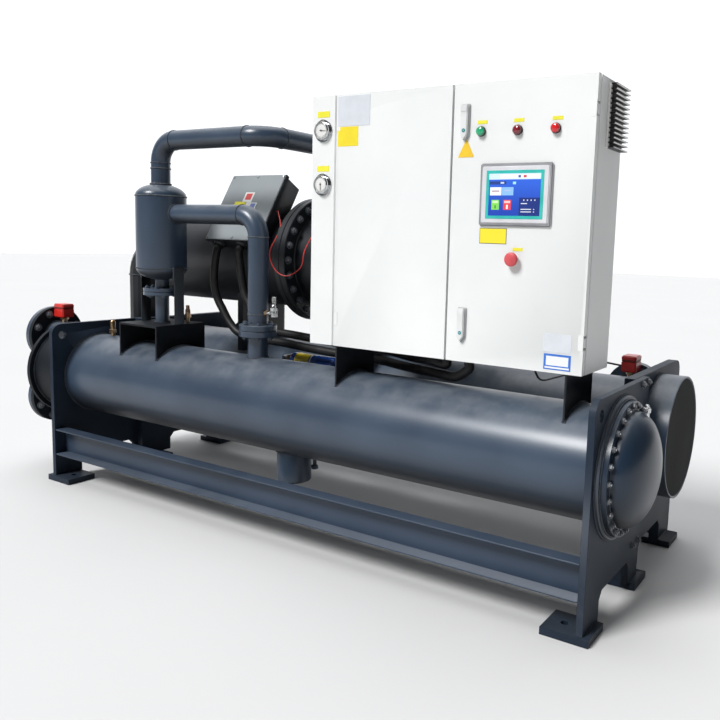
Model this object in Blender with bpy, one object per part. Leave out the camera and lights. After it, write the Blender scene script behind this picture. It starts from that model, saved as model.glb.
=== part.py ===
"""Water cooled screw chiller: two long vessels on bolted end frames, a screw compressor above,
an upright oil separator, discharge pipes and a control cabinet with two hinged doors.

Layout axes: X runs along the vessels, Y into the machine from the front, Z up. Lengths in metres.
The layout's zero is the right end frame's outer face and the frames' front edge, on the floor.
A share is a place along the frame, as a part of its length from the right end.
"""
import math

import bpy
import bmesh
from mathutils import Matrix, Vector

GAP = 0.0003
ROUND = 48
MEDIUM_ROUND = 32
SMALL_ROUND = 24
FINE_ROUND = 12
OVERRUN = 0.010

# End frames and beams
FRAME_LENGTH = 2.35
PLATE_THICK = 0.020
PLATE_HEIGHT = 0.660
FRONT_PLATE_DEPTH = 0.480
REAR_PLATE_THICK = 0.034
REAR_PLATE_CLEAR = 0.0125
REAR_PLATE_BEHIND_AXIS = 0.260
FRONT_LEG_WIDTH = 0.120
MIDDLE_LEG_WIDTH = 0.095
MIDDLE_LEG_BEHIND = 0.080
REAR_LEG_WIDTH = 0.140
ARCH_HEIGHT = 0.100
ARCH_CHAMFER = 0.022
CORNER_RADIUS = 0.042
CORNER_STEPS = 5
PAD_THICK = 0.022
PAD_LENGTH = 0.140
PAD_WIDTH = 0.120
PAD_OUT = 0.020
PAD_FORWARD = 0.010
PAD_SET_BACK = 0.015
PAD_HOLE_SHARE = 0.36
PAD_HOLE_RADIUS = 0.011
LIFT_HOLE_RADIUS = 0.017
LIFT_HOLE_INSET = 0.046
BEAM_TOP = 0.220
BEAM_HEIGHT = 0.110
BEAM_DEPTH = 0.050
BEAM_WALL = 0.006
BEAM_INSET = 0.002

# Vessels: the heads stand clear of the front plates' rear edges
VESSEL_AXIS_HEIGHT = 0.436
CONDENSER_RADIUS = 0.1675
EVAPORATOR_RADIUS = 0.178
HEAD_RADIUS = 0.203
HEAD_CLEAR = 0.007
HEAD_LENGTH_RIGHT = 0.082
HEAD_LENGTH_LEFT = 0.250
EVAPORATOR_AXIS_Y = FRONT_PLATE_DEPTH + HEAD_CLEAR + HEAD_RADIUS
COVER_FLANGE_RADIUS = 0.205
COVER_MARGIN = 0.055
CONDENSER_AXIS_Y = FRONT_PLATE_DEPTH - COVER_FLANGE_RADIUS - COVER_MARGIN
COVER_FLANGE_THICK = 0.012
COVER_RING_RADIUS = 0.192
COVER_RING_THICK = 0.018
COVER_DOME_RADIUS = 0.165
COVER_DOME_DEPTH = 0.082
WATER_BOX_LENGTH = 0.200
WATER_BOX_RADIUS = 0.180
WATER_BOX_PLATE_RADIUS = 0.201
WATER_BOX_PLATE_THICK = 0.020
NOZZLE_OFFSET = 0.138
NOZZLE_RADIUS = 0.061
NOZZLE_LENGTH = 0.086
NOZZLE_FLANGE_RADIUS = 0.125
NOZZLE_FLANGE_THICK = 0.021
SIDE_NOZZLE_INSET = 0.180
SIDE_NOZZLE_RISE = 0.089
SIDE_NOZZLE_RADIUS = 0.057
SIDE_NOZZLE_REACH = 0.240
SIDE_FLANGE_RADIUS = 0.105
SIDE_FLANGE_THICK = 0.018
SEAL_HALF = 0.001
SEAL_STEP = 0.006
SUMP_SHARE = 0.5136
SUMP_RADIUS = 0.0625
SUMP_BOTTOM = 0.165
SUMP_TAP_RISE = 0.103
SUMP_TAP_RADIUS = 0.007
SUMP_TAP_REACH = 0.034

# Separator stand and oil separator, stacked from the condenser upward
SEPARATOR_SHARE = 0.8174
SEPARATOR_RADIUS = 0.097
SEPARATOR_HEIGHT = 0.381
SEPARATOR_DOME = 0.048
STAND_RISE = 0.0845
STAND_HALF_LENGTH = 0.112
STAND_FORWARD = 0.120
STAND_PLATE = 0.008
DRAIN_RISE = 0.112
DRAIN_RADIUS = 0.027
DRAIN_FLANGE_RADIUS = 0.072
DRAIN_FLANGE_THICK = 0.028
DRAIN_NECK = 0.032
LEG_WIDTH = 0.045
LEG_THICK = 0.006
LEG_LAP = 0.055
NECK_LENGTH = 0.059
STAND_TOP = VESSEL_AXIS_HEIGHT + CONDENSER_RADIUS + STAND_RISE
DRAIN_FLANGE_HEIGHT = STAND_TOP + DRAIN_RISE
SEPARATOR_BOTTOM = DRAIN_FLANGE_HEIGHT + DRAIN_FLANGE_THICK + DRAIN_NECK
SEPARATOR_TOP = SEPARATOR_BOTTOM + SEPARATOR_HEIGHT
SEPARATOR_PLACE = -FRAME_LENGTH * SEPARATOR_SHARE
NECK_TOP = SEPARATOR_TOP + NECK_LENGTH

# Discharge pipes
PIPE_RADIUS = 0.037
TOP_PIPE_RISE = 0.108
TOP_PIPE_BEND = 0.085
TOP_PIPE_SHARE = 0.5787
SIDE_PIPE_DROP = 0.116
SIDE_PIPE_BEND = 0.080
SIDE_PIPE_SHARE = 0.592
GAS_FLANGE_RADIUS = 0.069
GAS_FLANGE_THICK = 0.022
GAS_FLANGE_RISE = 0.0985
TOP_PIPE_HEIGHT = NECK_TOP + TOP_PIPE_RISE
TOP_PIPE_TURN = -FRAME_LENGTH * TOP_PIPE_SHARE
SIDE_PIPE_HEIGHT = SEPARATOR_TOP - SIDE_PIPE_DROP
SIDE_PIPE_PLACE = -FRAME_LENGTH * SIDE_PIPE_SHARE
GAS_FLANGE_MIDDLE = VESSEL_AXIS_HEIGHT + CONDENSER_RADIUS + GAS_FLANGE_RISE

# Compressor: it stands on the evaporator, and the top pipe comes down just behind its casing flange
CASING_FLANGE_LENGTH = 0.055
CASING_FLANGE_RADIUS = 0.250
CASING_FLANGE_TO_PIPE = 0.045
COMPRESSOR_FORWARD = 0.070
COMPRESSOR_STAND_OFF = 0.096
MOTOR_INSET = 0.060
MOTOR_RADIUS = 0.200
ROTOR_LENGTH = 0.475
ROTOR_RADIUS = 0.190
END_HOUSING_LENGTH = 0.150
END_HOUSING_RADIUS = 0.215
END_CHAMFER = 0.030
MOTOR_SUPPORT_DISTANCE = 0.300
ROTOR_SUPPORT_DISTANCE = 0.285
SUPPORT_THICK = 0.030
SUPPORT_HALF_WIDTH = 0.130
SUPPORT_SINK = 0.70
SUCTION_RADIUS = 0.075
SUCTION_OUT = 0.183
SUCTION_BEND = 0.115
COMPRESSOR_AXIS_Y = EVAPORATOR_AXIS_Y - COMPRESSOR_FORWARD
COMPRESSOR_AXIS_HEIGHT = VESSEL_AXIS_HEIGHT + EVAPORATOR_RADIUS + COMPRESSOR_STAND_OFF + CASING_FLANGE_RADIUS
CASING_FLANGE_END = TOP_PIPE_TURN - CASING_FLANGE_TO_PIPE
CASING_FLANGE_START = CASING_FLANGE_END - CASING_FLANGE_LENGTH
ROTOR_END = CASING_FLANGE_END + ROTOR_LENGTH
MOTOR_START = -FRAME_LENGTH + MOTOR_INSET

# Terminal box: it leans on the motor's front shoulder, under a folded lid
TERMINAL_LENGTH = 0.300
TERMINAL_HEIGHT = 0.315
TERMINAL_DEPTH = 0.100
TERMINAL_TO_FLANGE = 0.070
TERMINAL_STAND_OFF = 0.060
TERMINAL_SHIFT_UP = 0.086
TERMINAL_LEAN = math.radians(30.5)
LID_THICK = 0.006
GLAND_RADIUS = 0.024
GLAND_LENGTH = 0.016
GLAND_DEPTH = 0.034
LEFT_GLAND_ALONG = -0.092
RIGHT_GLAND_ALONG = 0.034

# Conduits, sensor wires and the drier's line
CONDUIT_RADIUS = 0.016
CONDUIT_TURN = 0.0455
CONDUIT_SPACING = 4 * CONDUIT_RADIUS
LEFT_ENTRY = (0.550, 0.000)
LEFT_BEHIND = 0.145
LEFT_LIE = 0.0365
LEFT_UNDER = 0.0185
RIGHT_ENTRY = (0.450, 0.030)
RIGHT_BEHIND = 0.175
RIGHT_LIE = 0.0685
RIGHT_UNDER = 0.0525
SENSOR_SAG = 0.250
SENSOR_CLEAR = 0.020
SENSOR_REACH = 0.080
SENSOR_TURN = math.radians(148)
WIRE_LEAD = 0.011
SWITCH_WIRE_CLEAR = 0.011
SWITCH_WIRE_INSET = 0.215
SWITCH_WIRE_BACK = 0.050
SENSOR_WIRE_RADIUS = 0.0022
SWITCH_WIRE_RADIUS = 0.0035
DRIER_RADIUS = 0.030
DRIER_LENGTH = 0.215
DRIER_RIGHT_SHARE = 0.5085
DRIER_RISE = 0.129
DRIER_BEHIND_CONDENSER = 0.220
LINE_RADIUS = 0.009
LINE_RUN = 0.070
LINE_BEND = 0.030
DRIER_HEIGHT = VESSEL_AXIS_HEIGHT + DRIER_RISE

# Cabinet
CABINET_LEFT = -1.045
CABINET_RIGHT = -0.085
CABINET_RISE = 0.0965
CABINET_HEIGHT = 0.800
CABINET_FORWARD = 0.110
CABINET_DEPTH = 0.210
SHEET = 0.004
RIM = 0.024
DOOR_THICK = 0.020
DOOR_BACK_GAP = 0.006
DOOR_SEAM = 0.007
STRIP_WIDTH = 0.092
LEFT_DOOR_WIDTH = 0.424
HINGE_PIN_RADIUS = 0.002
HINGE_BARREL_RADIUS = 0.004
HINGE_WEB_HALF = 0.0025
HINGE_WEB_INSET = 0.001
HINGE_INSET = 0.004
HINGE_BARREL_HEIGHT = 0.028
HINGE_NOTCH_HEIGHT = 0.040
HINGE_NOTCH_DEPTH = 0.013
HINGE_END_DISTANCE = 0.090
PIN_REACH = 0.012
PANEL_THICK = 0.003
PANEL_BOSS_LENGTH = 0.020
PANEL_BOSS_RADIUS = 0.008
PANEL_BOSS_INSET = 0.030
PANEL_MARGIN = 0.045
BRACKET_LEFT_INSET = 0.111
BRACKET_RIGHT_INSET = 0.045
BRACKET_THICK = 0.006
BRACKET_SINK = 0.118
CABINET_BOTTOM = VESSEL_AXIS_HEIGHT + CONDENSER_RADIUS + CABINET_RISE
CABINET_TOP = CABINET_BOTTOM + CABINET_HEIGHT
CABINET_FRONT = CONDENSER_AXIS_Y - CABINET_FORWARD
CABINET_BACK = CABINET_FRONT + CABINET_DEPTH

# Small parts on the cabinet, measured from its left edge and its bottom
SCREEN_PLACE = (0.738, 0.487)
SCREEN_SIZE = (0.222, 0.174)
SCREEN_THICK = 0.012
SCREEN_BORDER = 0.020
SCREEN_RECESS = 0.003
GAUGE_PLACES = ((0.046, 0.691), (0.046, 0.521))
GAUGE_RADIUS = 0.036
GAUGE_THICK = 0.016
GAUGE_LIP = 0.006
LAMP_PLACES = ((0.622, 0.664), (0.736, 0.663), (0.849, 0.663))
LAMP_RADIUS = 0.0145
LAMP_THICK = 0.016
STOP_PLACE = (0.740, 0.308)
STOP_RADIUS = 0.020
STOP_THICK = 0.013
STOP_STEM_RADIUS = 0.006
STOP_STEM_LENGTH = 0.016
STOP_STAND_OFF = 0.012
STOP_COLLAR_RADIUS = 0.016
STOP_COLLAR_THICK = 0.005
HANDLE_PLACES = ((0.570, 0.690), (0.582, 0.109))
HANDLE_SIZE = (0.028, 0.104)
HANDLE_PLATE_THICK = 0.006
HANDLE_LEVER_SIZE = (0.016, 0.066)
HANDLE_LEVER_THICK = 0.014
HANDLE_LOCK_RADIUS = 0.008
VENT_BOTTOM = 0.618
VENT_HEIGHT = 0.170
VENT_DEPTH = 0.120
VENT_THICK = 0.024
VENT_BASE = 0.006
VENT_FINS = 14
VENT_FIN_THICK = 0.003
VENT_REAR_MARGIN = 0.010

# Flow switches, one on the upper water nozzle and one on the right rear nozzle
SWITCH_LENGTH = 0.070
SWITCH_WIDTH = 0.055
SWITCH_HEIGHT = 0.060
SWITCH_STEM_RADIUS = 0.012
SWITCH_STEM_HEIGHT = 0.022
SWITCH_NUT_RADIUS = 0.017
SWITCH_NUT_HEIGHT = 0.009
SWITCH_FROM_BOX = 0.035
SWITCH_FROM_FLANGE = 0.045

# Small fittings
RELIEF_INSET = 0.110
RELIEF_RADIUS = 0.011
RELIEF_RISE = 0.0685
PLUG_RADIUS = 0.010
PLUG_RISE = 0.020
PLUG_TURN_DEGREES = 12
PLUG_SETBACK = 0.030
PLUG_SIDE = 0.034
VALVE_STUB_RADIUS = 0.007
VALVE_OUT = 0.080
VALVE_RISE = 0.045
VALVE_BODY_RADIUS = 0.012
VALVE_HEIGHT = 0.064
OIL_VALVE_OFFSET = (0.063, 0.075)
OIL_VALVE_HEIGHT = 0.070

# The overall box in layout axes gives the model's origin at its bottom centre
SIDE_NOZZLE_END = EVAPORATOR_AXIS_Y + SIDE_NOZZLE_REACH
LEFT_END = -FRAME_LENGTH - WATER_BOX_LENGTH - NOZZLE_LENGTH - 2 * NOZZLE_FLANGE_THICK - 2 * GAP
RIGHT_END = COVER_FLANGE_THICK + COVER_RING_THICK + COVER_DOME_DEPTH + 2 * GAP
FRONT_END = -PAD_FORWARD
BACK_END = SIDE_NOZZLE_END + 2 * SIDE_FLANGE_THICK
ORIGIN = Vector(((LEFT_END + RIGHT_END) / 2, (FRONT_END + BACK_END) / 2, 0.0))

for old in list(bpy.data.objects):
    bpy.data.objects.remove(old, do_unlink=True)

MATERIALS = {}


def material(name, colour, roughness, metallic=0.0):
    # One Principled material for each finish, made once
    if name in MATERIALS:
        return MATERIALS[name]
    made = bpy.data.materials.new(name)
    made.use_nodes = True
    shader = made.node_tree.nodes["Principled BSDF"]
    shader.inputs["Base Color"].default_value = (*colour, 1.0)
    shader.inputs["Roughness"].default_value = roughness
    shader.inputs["Metallic"].default_value = metallic
    made.diffuse_color = (*colour, 1.0)
    MATERIALS[name] = made
    return made


SLATE = material("slate_paint", (0.040, 0.052, 0.072), 0.42)
DARK = material("dark_paint", (0.012, 0.014, 0.018), 0.55)
LID = material("grey_lid", (0.110, 0.118, 0.125), 0.50)
WHITE = material("white_paint", (0.820, 0.830, 0.830), 0.45)
STEEL = material("bright_steel", (0.500, 0.510, 0.520), 0.32, 1.0)
ALUMINIUM = material("aluminium", (0.640, 0.650, 0.660), 0.38, 1.0)
BRASS = material("brass", (0.600, 0.420, 0.180), 0.35, 1.0)
RED = material("red_plastic", (0.600, 0.020, 0.015), 0.35)
DARK_RED = material("dark_red_lens", (0.250, 0.010, 0.020), 0.20)
GREEN = material("green_lens", (0.010, 0.330, 0.160), 0.20)
BEZEL = material("grey_bezel", (0.450, 0.460, 0.460), 0.40)
HANDLE_WHITE = material("white_plastic", (0.780, 0.790, 0.780), 0.35)
BLACK = material("black_plastic", (0.012, 0.012, 0.013), 0.55)
BLUE = material("blue_paint", (0.010, 0.050, 0.250), 0.30)


def register(name, mesh, finish, smooth=True):
    # Turns a finished mesh into a named object in the model's frame
    mesh.name = name
    made = bpy.data.objects.new(name, mesh)
    bpy.context.scene.collection.objects.link(made)
    made.data.materials.append(finish)
    if smooth:
        mesh.shade_smooth()
        mesh.set_sharp_from_angle(angle=math.radians(32))
    made.location = -ORIGIN
    return made


def from_bmesh(name, shape, finish, smooth=True):
    bmesh.ops.recalc_face_normals(shape, faces=shape.faces)
    mesh = bpy.data.meshes.new(name)
    shape.to_mesh(mesh)
    shape.free()
    return register(name, mesh, finish, smooth)


def box(name, x0, x1, y0, y1, z0, z1, finish):
    shape = bmesh.new()
    bmesh.ops.create_cube(shape, size=1.0)
    for vertex in shape.verts:
        vertex.co.x = x0 if vertex.co.x < 0 else x1
        vertex.co.y = y0 if vertex.co.y < 0 else y1
        vertex.co.z = z0 if vertex.co.z < 0 else z1
    return from_bmesh(name, shape, finish, smooth=False)


def extruded(name, outline, axis, start, end, finish, smooth=False):
    # outline holds pairs in the two other axes, in X, Y, Z order
    shape = bmesh.new()
    corners = []
    for first, second in outline:
        place = [first, second]
        place.insert(axis, start)
        corners.append(shape.verts.new(place))
    face = shape.faces.new(corners)
    grown = bmesh.ops.extrude_face_region(shape, geom=[face])
    shift = [0.0, 0.0, 0.0]
    shift[axis] = end - start
    moved = [item for item in grown["geom"] if isinstance(item, bmesh.types.BMVert)]
    bmesh.ops.translate(shape, verts=moved, vec=shift)
    return from_bmesh(name, shape, finish, smooth)


def turned(name, profile, axis, centre, finish, sides=ROUND):
    # profile holds (place along the axis, radius) pairs, starting and ending on the axis
    shape = bmesh.new()
    direction = Vector((0, 0, 0))
    direction[axis] = 1.0
    outward = Vector((0, 0, 0))
    outward[(axis + 1) % 3] = 1.0
    chain = []
    for along, radius in profile:
        chain.append(shape.verts.new(Vector(centre) + direction * along + outward * radius))
    edges = [shape.edges.new(pair) for pair in zip(chain[:-1], chain[1:])]
    bmesh.ops.spin(
        shape, geom=chain + edges, cent=centre, axis=direction,
        angle=math.tau, steps=sides, use_merge=True,
    )
    bmesh.ops.remove_doubles(shape, verts=shape.verts, dist=0.00001)
    return from_bmesh(name, shape, finish)


def disc_profile(start, end, radius):
    return [(start, 0.0), (start, radius), (end, radius), (end, 0.0)]


def rod(name, axis, centre, start, end, radius, finish, sides=SMALL_ROUND):
    return turned(name, disc_profile(start, end, radius), axis, centre, finish, sides)


def bent_route(corners, bend, steps=8):
    # Straight runs joined by round bends of one radius
    corners = [Vector(corner) for corner in corners]
    route = [corners[0]]
    for before, corner, after in zip(corners[:-2], corners[1:-1], corners[2:]):
        inward = (before - corner).normalized()
        outward = (after - corner).normalized()
        centre = corner + (inward + outward) * bend
        first = corner + inward * bend
        for step in range(steps + 1):
            turn = math.pi / 2 * step / steps
            arm = (first - centre) * math.cos(turn) + (corner + outward * bend - centre) * math.sin(turn)
            route.append(centre + arm)
    route.append(corners[-1])
    return route


def tube(name, route, radius, finish, resolution=4):
    # A round bar along the route, made from a curve with filled caps
    curve = bpy.data.curves.new(name, "CURVE")
    curve.dimensions = "3D"
    curve.bevel_depth = radius
    curve.bevel_resolution = resolution
    curve.use_fill_caps = True
    spline = curve.splines.new("POLY")
    spline.points.add(len(route) - 1)
    for point, place in zip(spline.points, route):
        point.co = (*place, 1.0)
    guide = bpy.data.objects.new(name + "_curve", curve)
    bpy.context.scene.collection.objects.link(guide)
    bpy.context.view_layer.update()
    mesh = bpy.data.meshes.new_from_object(guide.evaluated_get(bpy.context.evaluated_depsgraph_get()))
    bpy.data.objects.remove(guide, do_unlink=True)
    shape = bmesh.new()
    shape.from_mesh(mesh)
    bmesh.ops.remove_doubles(shape, verts=shape.verts, dist=0.00001)
    return from_bmesh(name, shape, finish)


def combine(target, tool, operation):
    # An exact Boolean, worked out at once so that the tool can go
    step = target.modifiers.new(operation.lower(), "BOOLEAN")
    step.operation = operation
    step.solver = "EXACT"
    step.object = tool
    bpy.context.view_layer.update()
    graph = bpy.context.evaluated_depsgraph_get()
    mesh = bpy.data.meshes.new_from_object(target.evaluated_get(graph))
    target.modifiers.remove(step)
    mesh.shade_smooth()
    mesh.set_sharp_from_angle(angle=math.radians(32))
    target.data = mesh
    mesh.name = target.name
    bpy.data.objects.remove(tool, do_unlink=True)


def add(target, *tools):
    for tool in tools:
        combine(target, tool, "UNION")


def cut(target, *tools):
    for tool in tools:
        combine(target, tool, "DIFFERENCE")


def mirror_x(place):
    # The same place at the machine's other end
    return -FRAME_LENGTH - place


# End frames: a front and a rear plate at each end, on welded foot pads
def leg_outline(start, end, first_leg_end, second_leg_start, foot, cut_front):
    top = PLATE_HEIGHT
    chamfer = ARCH_CHAMFER
    radius = CORNER_RADIUS
    outline = [
        (start, foot),
        (first_leg_end, foot),
        (first_leg_end, ARCH_HEIGHT - chamfer),
        (first_leg_end + chamfer, ARCH_HEIGHT),
        (second_leg_start - chamfer, ARCH_HEIGHT),
        (second_leg_start, ARCH_HEIGHT - chamfer),
        (second_leg_start, foot),
        (end, foot),
    ]
    turns = [math.pi / 2 * step / CORNER_STEPS for step in range(CORNER_STEPS + 1)]
    if cut_front:
        outline.append((end, top))
        outline += [(start + radius * (1 - math.sin(turn)), top - radius * (1 - math.cos(turn))) for turn in turns]
    else:
        outline += [(end - radius * (1 - math.cos(turn)), top - radius * (1 - math.sin(turn))) for turn in turns]
        outline.append((start, top))
    return outline


def pad(name, side, front):
    x0, x1 = (PAD_OUT - PAD_LENGTH, PAD_OUT)
    if side == "left":
        x0, x1 = mirror_x(x1), mirror_x(x0)
    made = box(name, x0, x1, front, front + PAD_WIDTH, 0.0, PAD_THICK, SLATE)
    from_inner_edge = PAD_LENGTH * PAD_HOLE_SHARE
    middle = (x0 + from_inner_edge) if side == "right" else (x1 - from_inner_edge)
    centre = (middle, front + PAD_WIDTH / 2, 0.0)
    cut(made, rod("hole", 2, centre, -OVERRUN, PAD_THICK + OVERRUN, PAD_HOLE_RADIUS, SLATE))
    return made


def end_frames(side):
    # The plates' outer faces are the frame's ends; the rear plate laps behind the front one
    outer = 0.0
    inner = -PLATE_THICK
    rear_outer = inner - GAP
    rear_inner = rear_outer - REAR_PLATE_THICK
    if side == "left":
        outer, inner, rear_outer, rear_inner = (mirror_x(value) for value in (outer, inner, rear_outer, rear_inner))
    foot = PAD_THICK / 2
    middle_leg_start = FRONT_PLATE_DEPTH - MIDDLE_LEG_WIDTH
    outline = leg_outline(0.0, FRONT_PLATE_DEPTH, FRONT_LEG_WIDTH, middle_leg_start, foot, True)
    front = extruded("front_frame_" + side, outline, 0, inner, outer, SLATE)
    hole = (outer, LIFT_HOLE_INSET, PLATE_HEIGHT - LIFT_HOLE_INSET)
    cut(front, rod("hole", 0, hole, -2 * PLATE_THICK, 2 * PLATE_THICK, LIFT_HOLE_RADIUS, SLATE))
    for pad_front in (-PAD_FORWARD, middle_leg_start + PAD_SET_BACK):
        add(front, pad("pad", side, pad_front))
    rear_leg_start = REAR_PLATE_END - REAR_LEG_WIDTH
    outline = leg_outline(REAR_PLATE_START, REAR_PLATE_END, FRONT_PLATE_DEPTH + MIDDLE_LEG_BEHIND,
                          rear_leg_start, PAD_THICK + GAP, False)
    rear = extruded("rear_frame_" + side, outline, 0, rear_inner, rear_outer, SLATE)
    add(rear, box("leg_foot", rear_inner, rear_outer, rear_leg_start, REAR_PLATE_END,
                  PAD_THICK / 2, ARCH_HEIGHT / 2, SLATE))
    add(rear, pad("pad", side, rear_leg_start))


REAR_PLATE_START = CONDENSER_AXIS_Y + CONDENSER_RADIUS + REAR_PLATE_CLEAR
REAR_PLATE_END = EVAPORATOR_AXIS_Y + REAR_PLATE_BEHIND_AXIS
for end_side in ("right", "left"):
    end_frames(end_side)


# Beams: channels between the end frames, open to the outside
def channel(name, front, back, open_forward, x0, x1):
    z1 = BEAM_TOP
    z0 = z1 - BEAM_HEIGHT
    wall = BEAM_WALL
    outline = [(front, z0), (back, z0), (back, z1), (front, z1), (front, z1 - wall),
               (back - wall, z1 - wall), (back - wall, z0 + wall), (front, z0 + wall)]
    if not open_forward:
        outline = [(front + back - y, z) for y, z in outline]
    return extruded(name, outline, 0, x0, x1, SLATE)


BEAM_CLEAR = PLATE_THICK + GAP
REAR_CLEAR = PLATE_THICK + REAR_PLATE_THICK + 2 * GAP
channel("front_beam", BEAM_INSET, BEAM_INSET + BEAM_DEPTH, True, -FRAME_LENGTH + BEAM_CLEAR, -BEAM_CLEAR)
channel("rear_beam", REAR_PLATE_END - BEAM_INSET - BEAM_DEPTH, REAR_PLATE_END - BEAM_INSET, False,
        -FRAME_LENGTH + REAR_CLEAR, -REAR_CLEAR)

# Vessels between the end frames
CONDENSER_AXIS = (0.0, CONDENSER_AXIS_Y, VESSEL_AXIS_HEIGHT)
EVAPORATOR_AXIS = (0.0, EVAPORATOR_AXIS_Y, VESSEL_AXIS_HEIGHT)
condenser = rod("condenser_shell", 0, CONDENSER_AXIS, -FRAME_LENGTH + BEAM_CLEAR, -BEAM_CLEAR,
                CONDENSER_RADIUS, SLATE, ROUND)
evaporator = rod("evaporator_shell", 0, EVAPORATOR_AXIS, -FRAME_LENGTH + REAR_CLEAR, -REAR_CLEAR,
                 EVAPORATOR_RADIUS, SLATE, ROUND)


def along_machine(axis_line, radius):
    # A cutter a little larger than a vessel and longer than the whole machine
    return rod("cutter", 0, axis_line, 2 * LEFT_END, FRAME_LENGTH, radius + GAP, SLATE, ROUND)


def condenser_cutter():
    return along_machine(CONDENSER_AXIS, CONDENSER_RADIUS)


def evaporator_cutter():
    return along_machine(EVAPORATOR_AXIS, EVAPORATOR_RADIUS)


# Right end cover: welded ring, bolted ring and a dished end
def cover_profile(clear=0.0):
    ring = GAP + COVER_FLANGE_THICK + clear
    face = ring + COVER_RING_THICK
    profile = [(GAP, 0.0), (GAP, COVER_FLANGE_RADIUS + clear), (ring, COVER_FLANGE_RADIUS + clear),
               (ring, COVER_RING_RADIUS + clear), (face, COVER_RING_RADIUS + clear), (face, COVER_DOME_RADIUS + clear)]
    steps = 9
    for step in range(1, steps):
        turn = math.pi / 2 * step / steps
        profile.append((face + COVER_DOME_DEPTH * math.sin(turn), (COVER_DOME_RADIUS + clear) * math.cos(turn)))
    profile.append((face + COVER_DOME_DEPTH, 0.0))
    return profile


turned("condenser_cover", cover_profile(), 0, CONDENSER_AXIS, SLATE)

# Left water box with two flanged nozzles, each closed by a blind flange
box_face = -FRAME_LENGTH - WATER_BOX_LENGTH
water_box = turned(
    "condenser_water_box",
    [(-FRAME_LENGTH - GAP, 0.0), (-FRAME_LENGTH - GAP, COVER_FLANGE_RADIUS),
     (-FRAME_LENGTH - WATER_BOX_PLATE_THICK, COVER_FLANGE_RADIUS),
     (-FRAME_LENGTH - WATER_BOX_PLATE_THICK, WATER_BOX_RADIUS),
     (box_face + WATER_BOX_PLATE_THICK, WATER_BOX_RADIUS),
     (box_face + WATER_BOX_PLATE_THICK, WATER_BOX_PLATE_RADIUS),
     (box_face, WATER_BOX_PLATE_RADIUS), (box_face, 0.0)],
    0, CONDENSER_AXIS, SLATE)
nozzle_end = box_face - NOZZLE_LENGTH
for nozzle_name, side_sign in (("upper", 1), ("lower", -1)):
    nozzle_axis = (0.0, CONDENSER_AXIS_Y, VESSEL_AXIS_HEIGHT + side_sign * NOZZLE_OFFSET)
    flange_end = nozzle_end - NOZZLE_FLANGE_THICK
    nozzle = turned(
        "nozzle",
        [(box_face + OVERRUN, 0.0), (box_face + OVERRUN, NOZZLE_RADIUS), (nozzle_end, NOZZLE_RADIUS),
         (nozzle_end, NOZZLE_FLANGE_RADIUS), (flange_end, NOZZLE_FLANGE_RADIUS), (flange_end, 0.0)],
        0, nozzle_axis, SLATE, 32)
    add(water_box, nozzle)
    rod("blind_flange_" + nozzle_name, 0, nozzle_axis, flange_end - GAP - NOZZLE_FLANGE_THICK,
        flange_end - GAP, NOZZLE_FLANGE_RADIUS, SLATE, 32)

# Evaporator heads outside the rear plates
rod("evaporator_head_right", 0, EVAPORATOR_AXIS, -PLATE_THICK, -PLATE_THICK + HEAD_LENGTH_RIGHT,
    HEAD_RADIUS, SLATE, ROUND)
rod("evaporator_head_left", 0, EVAPORATOR_AXIS, mirror_x(-PLATE_THICK + HEAD_LENGTH_LEFT),
    mirror_x(-PLATE_THICK), HEAD_RADIUS, SLATE, ROUND)


# Water nozzles on the evaporator's back, with blind flanges
side_nozzle_height = VESSEL_AXIS_HEIGHT + SIDE_NOZZLE_RISE


def side_nozzle(name, place):
    centre = (place, 0.0, side_nozzle_height)
    end = SIDE_NOZZLE_END
    joint = end + SIDE_FLANGE_THICK
    seal_radius = SIDE_FLANGE_RADIUS - SEAL_STEP
    made = turned(
        name,
        [(EVAPORATOR_AXIS_Y, 0.0), (EVAPORATOR_AXIS_Y, SIDE_NOZZLE_RADIUS), (end, SIDE_NOZZLE_RADIUS),
         (end, SIDE_FLANGE_RADIUS), (joint - SEAL_HALF, SIDE_FLANGE_RADIUS),
         (joint - SEAL_HALF, seal_radius), (joint + SEAL_HALF, seal_radius),
         (joint + SEAL_HALF, SIDE_FLANGE_RADIUS), (end + 2 * SIDE_FLANGE_THICK, SIDE_FLANGE_RADIUS),
         (end + 2 * SIDE_FLANGE_THICK, 0.0)],
        1, centre, SLATE, MEDIUM_ROUND)
    cut(made, evaporator_cutter())
    return made


side_nozzle("evaporator_nozzle_right", -SIDE_NOZZLE_INSET)
side_nozzle("evaporator_nozzle_left", mirror_x(-SIDE_NOZZLE_INSET))


# Flow switches: a red box on a short brass stem
def flow_switch(name, place, across, seat, bore_axis_radius, along):
    x, y = place, across
    stem_top = seat + SWITCH_STEM_HEIGHT
    half_x = (SWITCH_LENGTH if along == 0 else SWITCH_WIDTH) / 2
    half_y = (SWITCH_WIDTH if along == 0 else SWITCH_LENGTH) / 2
    made = box(name, x - half_x, x + half_x, y - half_y, y + half_y, stem_top, stem_top + SWITCH_HEIGHT, RED)
    nut_low = stem_top - SWITCH_NUT_HEIGHT
    add(made, turned(
        "stem",
        [(seat - SWITCH_STEM_RADIUS, 0.0), (seat - SWITCH_STEM_RADIUS, SWITCH_STEM_RADIUS),
         (nut_low, SWITCH_STEM_RADIUS), (nut_low, SWITCH_NUT_RADIUS), (stem_top + OVERRUN, SWITCH_NUT_RADIUS),
         (stem_top + OVERRUN, 0.0)],
        2, (x, y, 0.0), BRASS, SMALL_ROUND))
    centre = (x, y, seat - bore_axis_radius)
    cut(made, rod("cutter", along, centre, -SWITCH_LENGTH, SWITCH_LENGTH, bore_axis_radius + GAP, RED, MEDIUM_ROUND))
    return made


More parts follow.
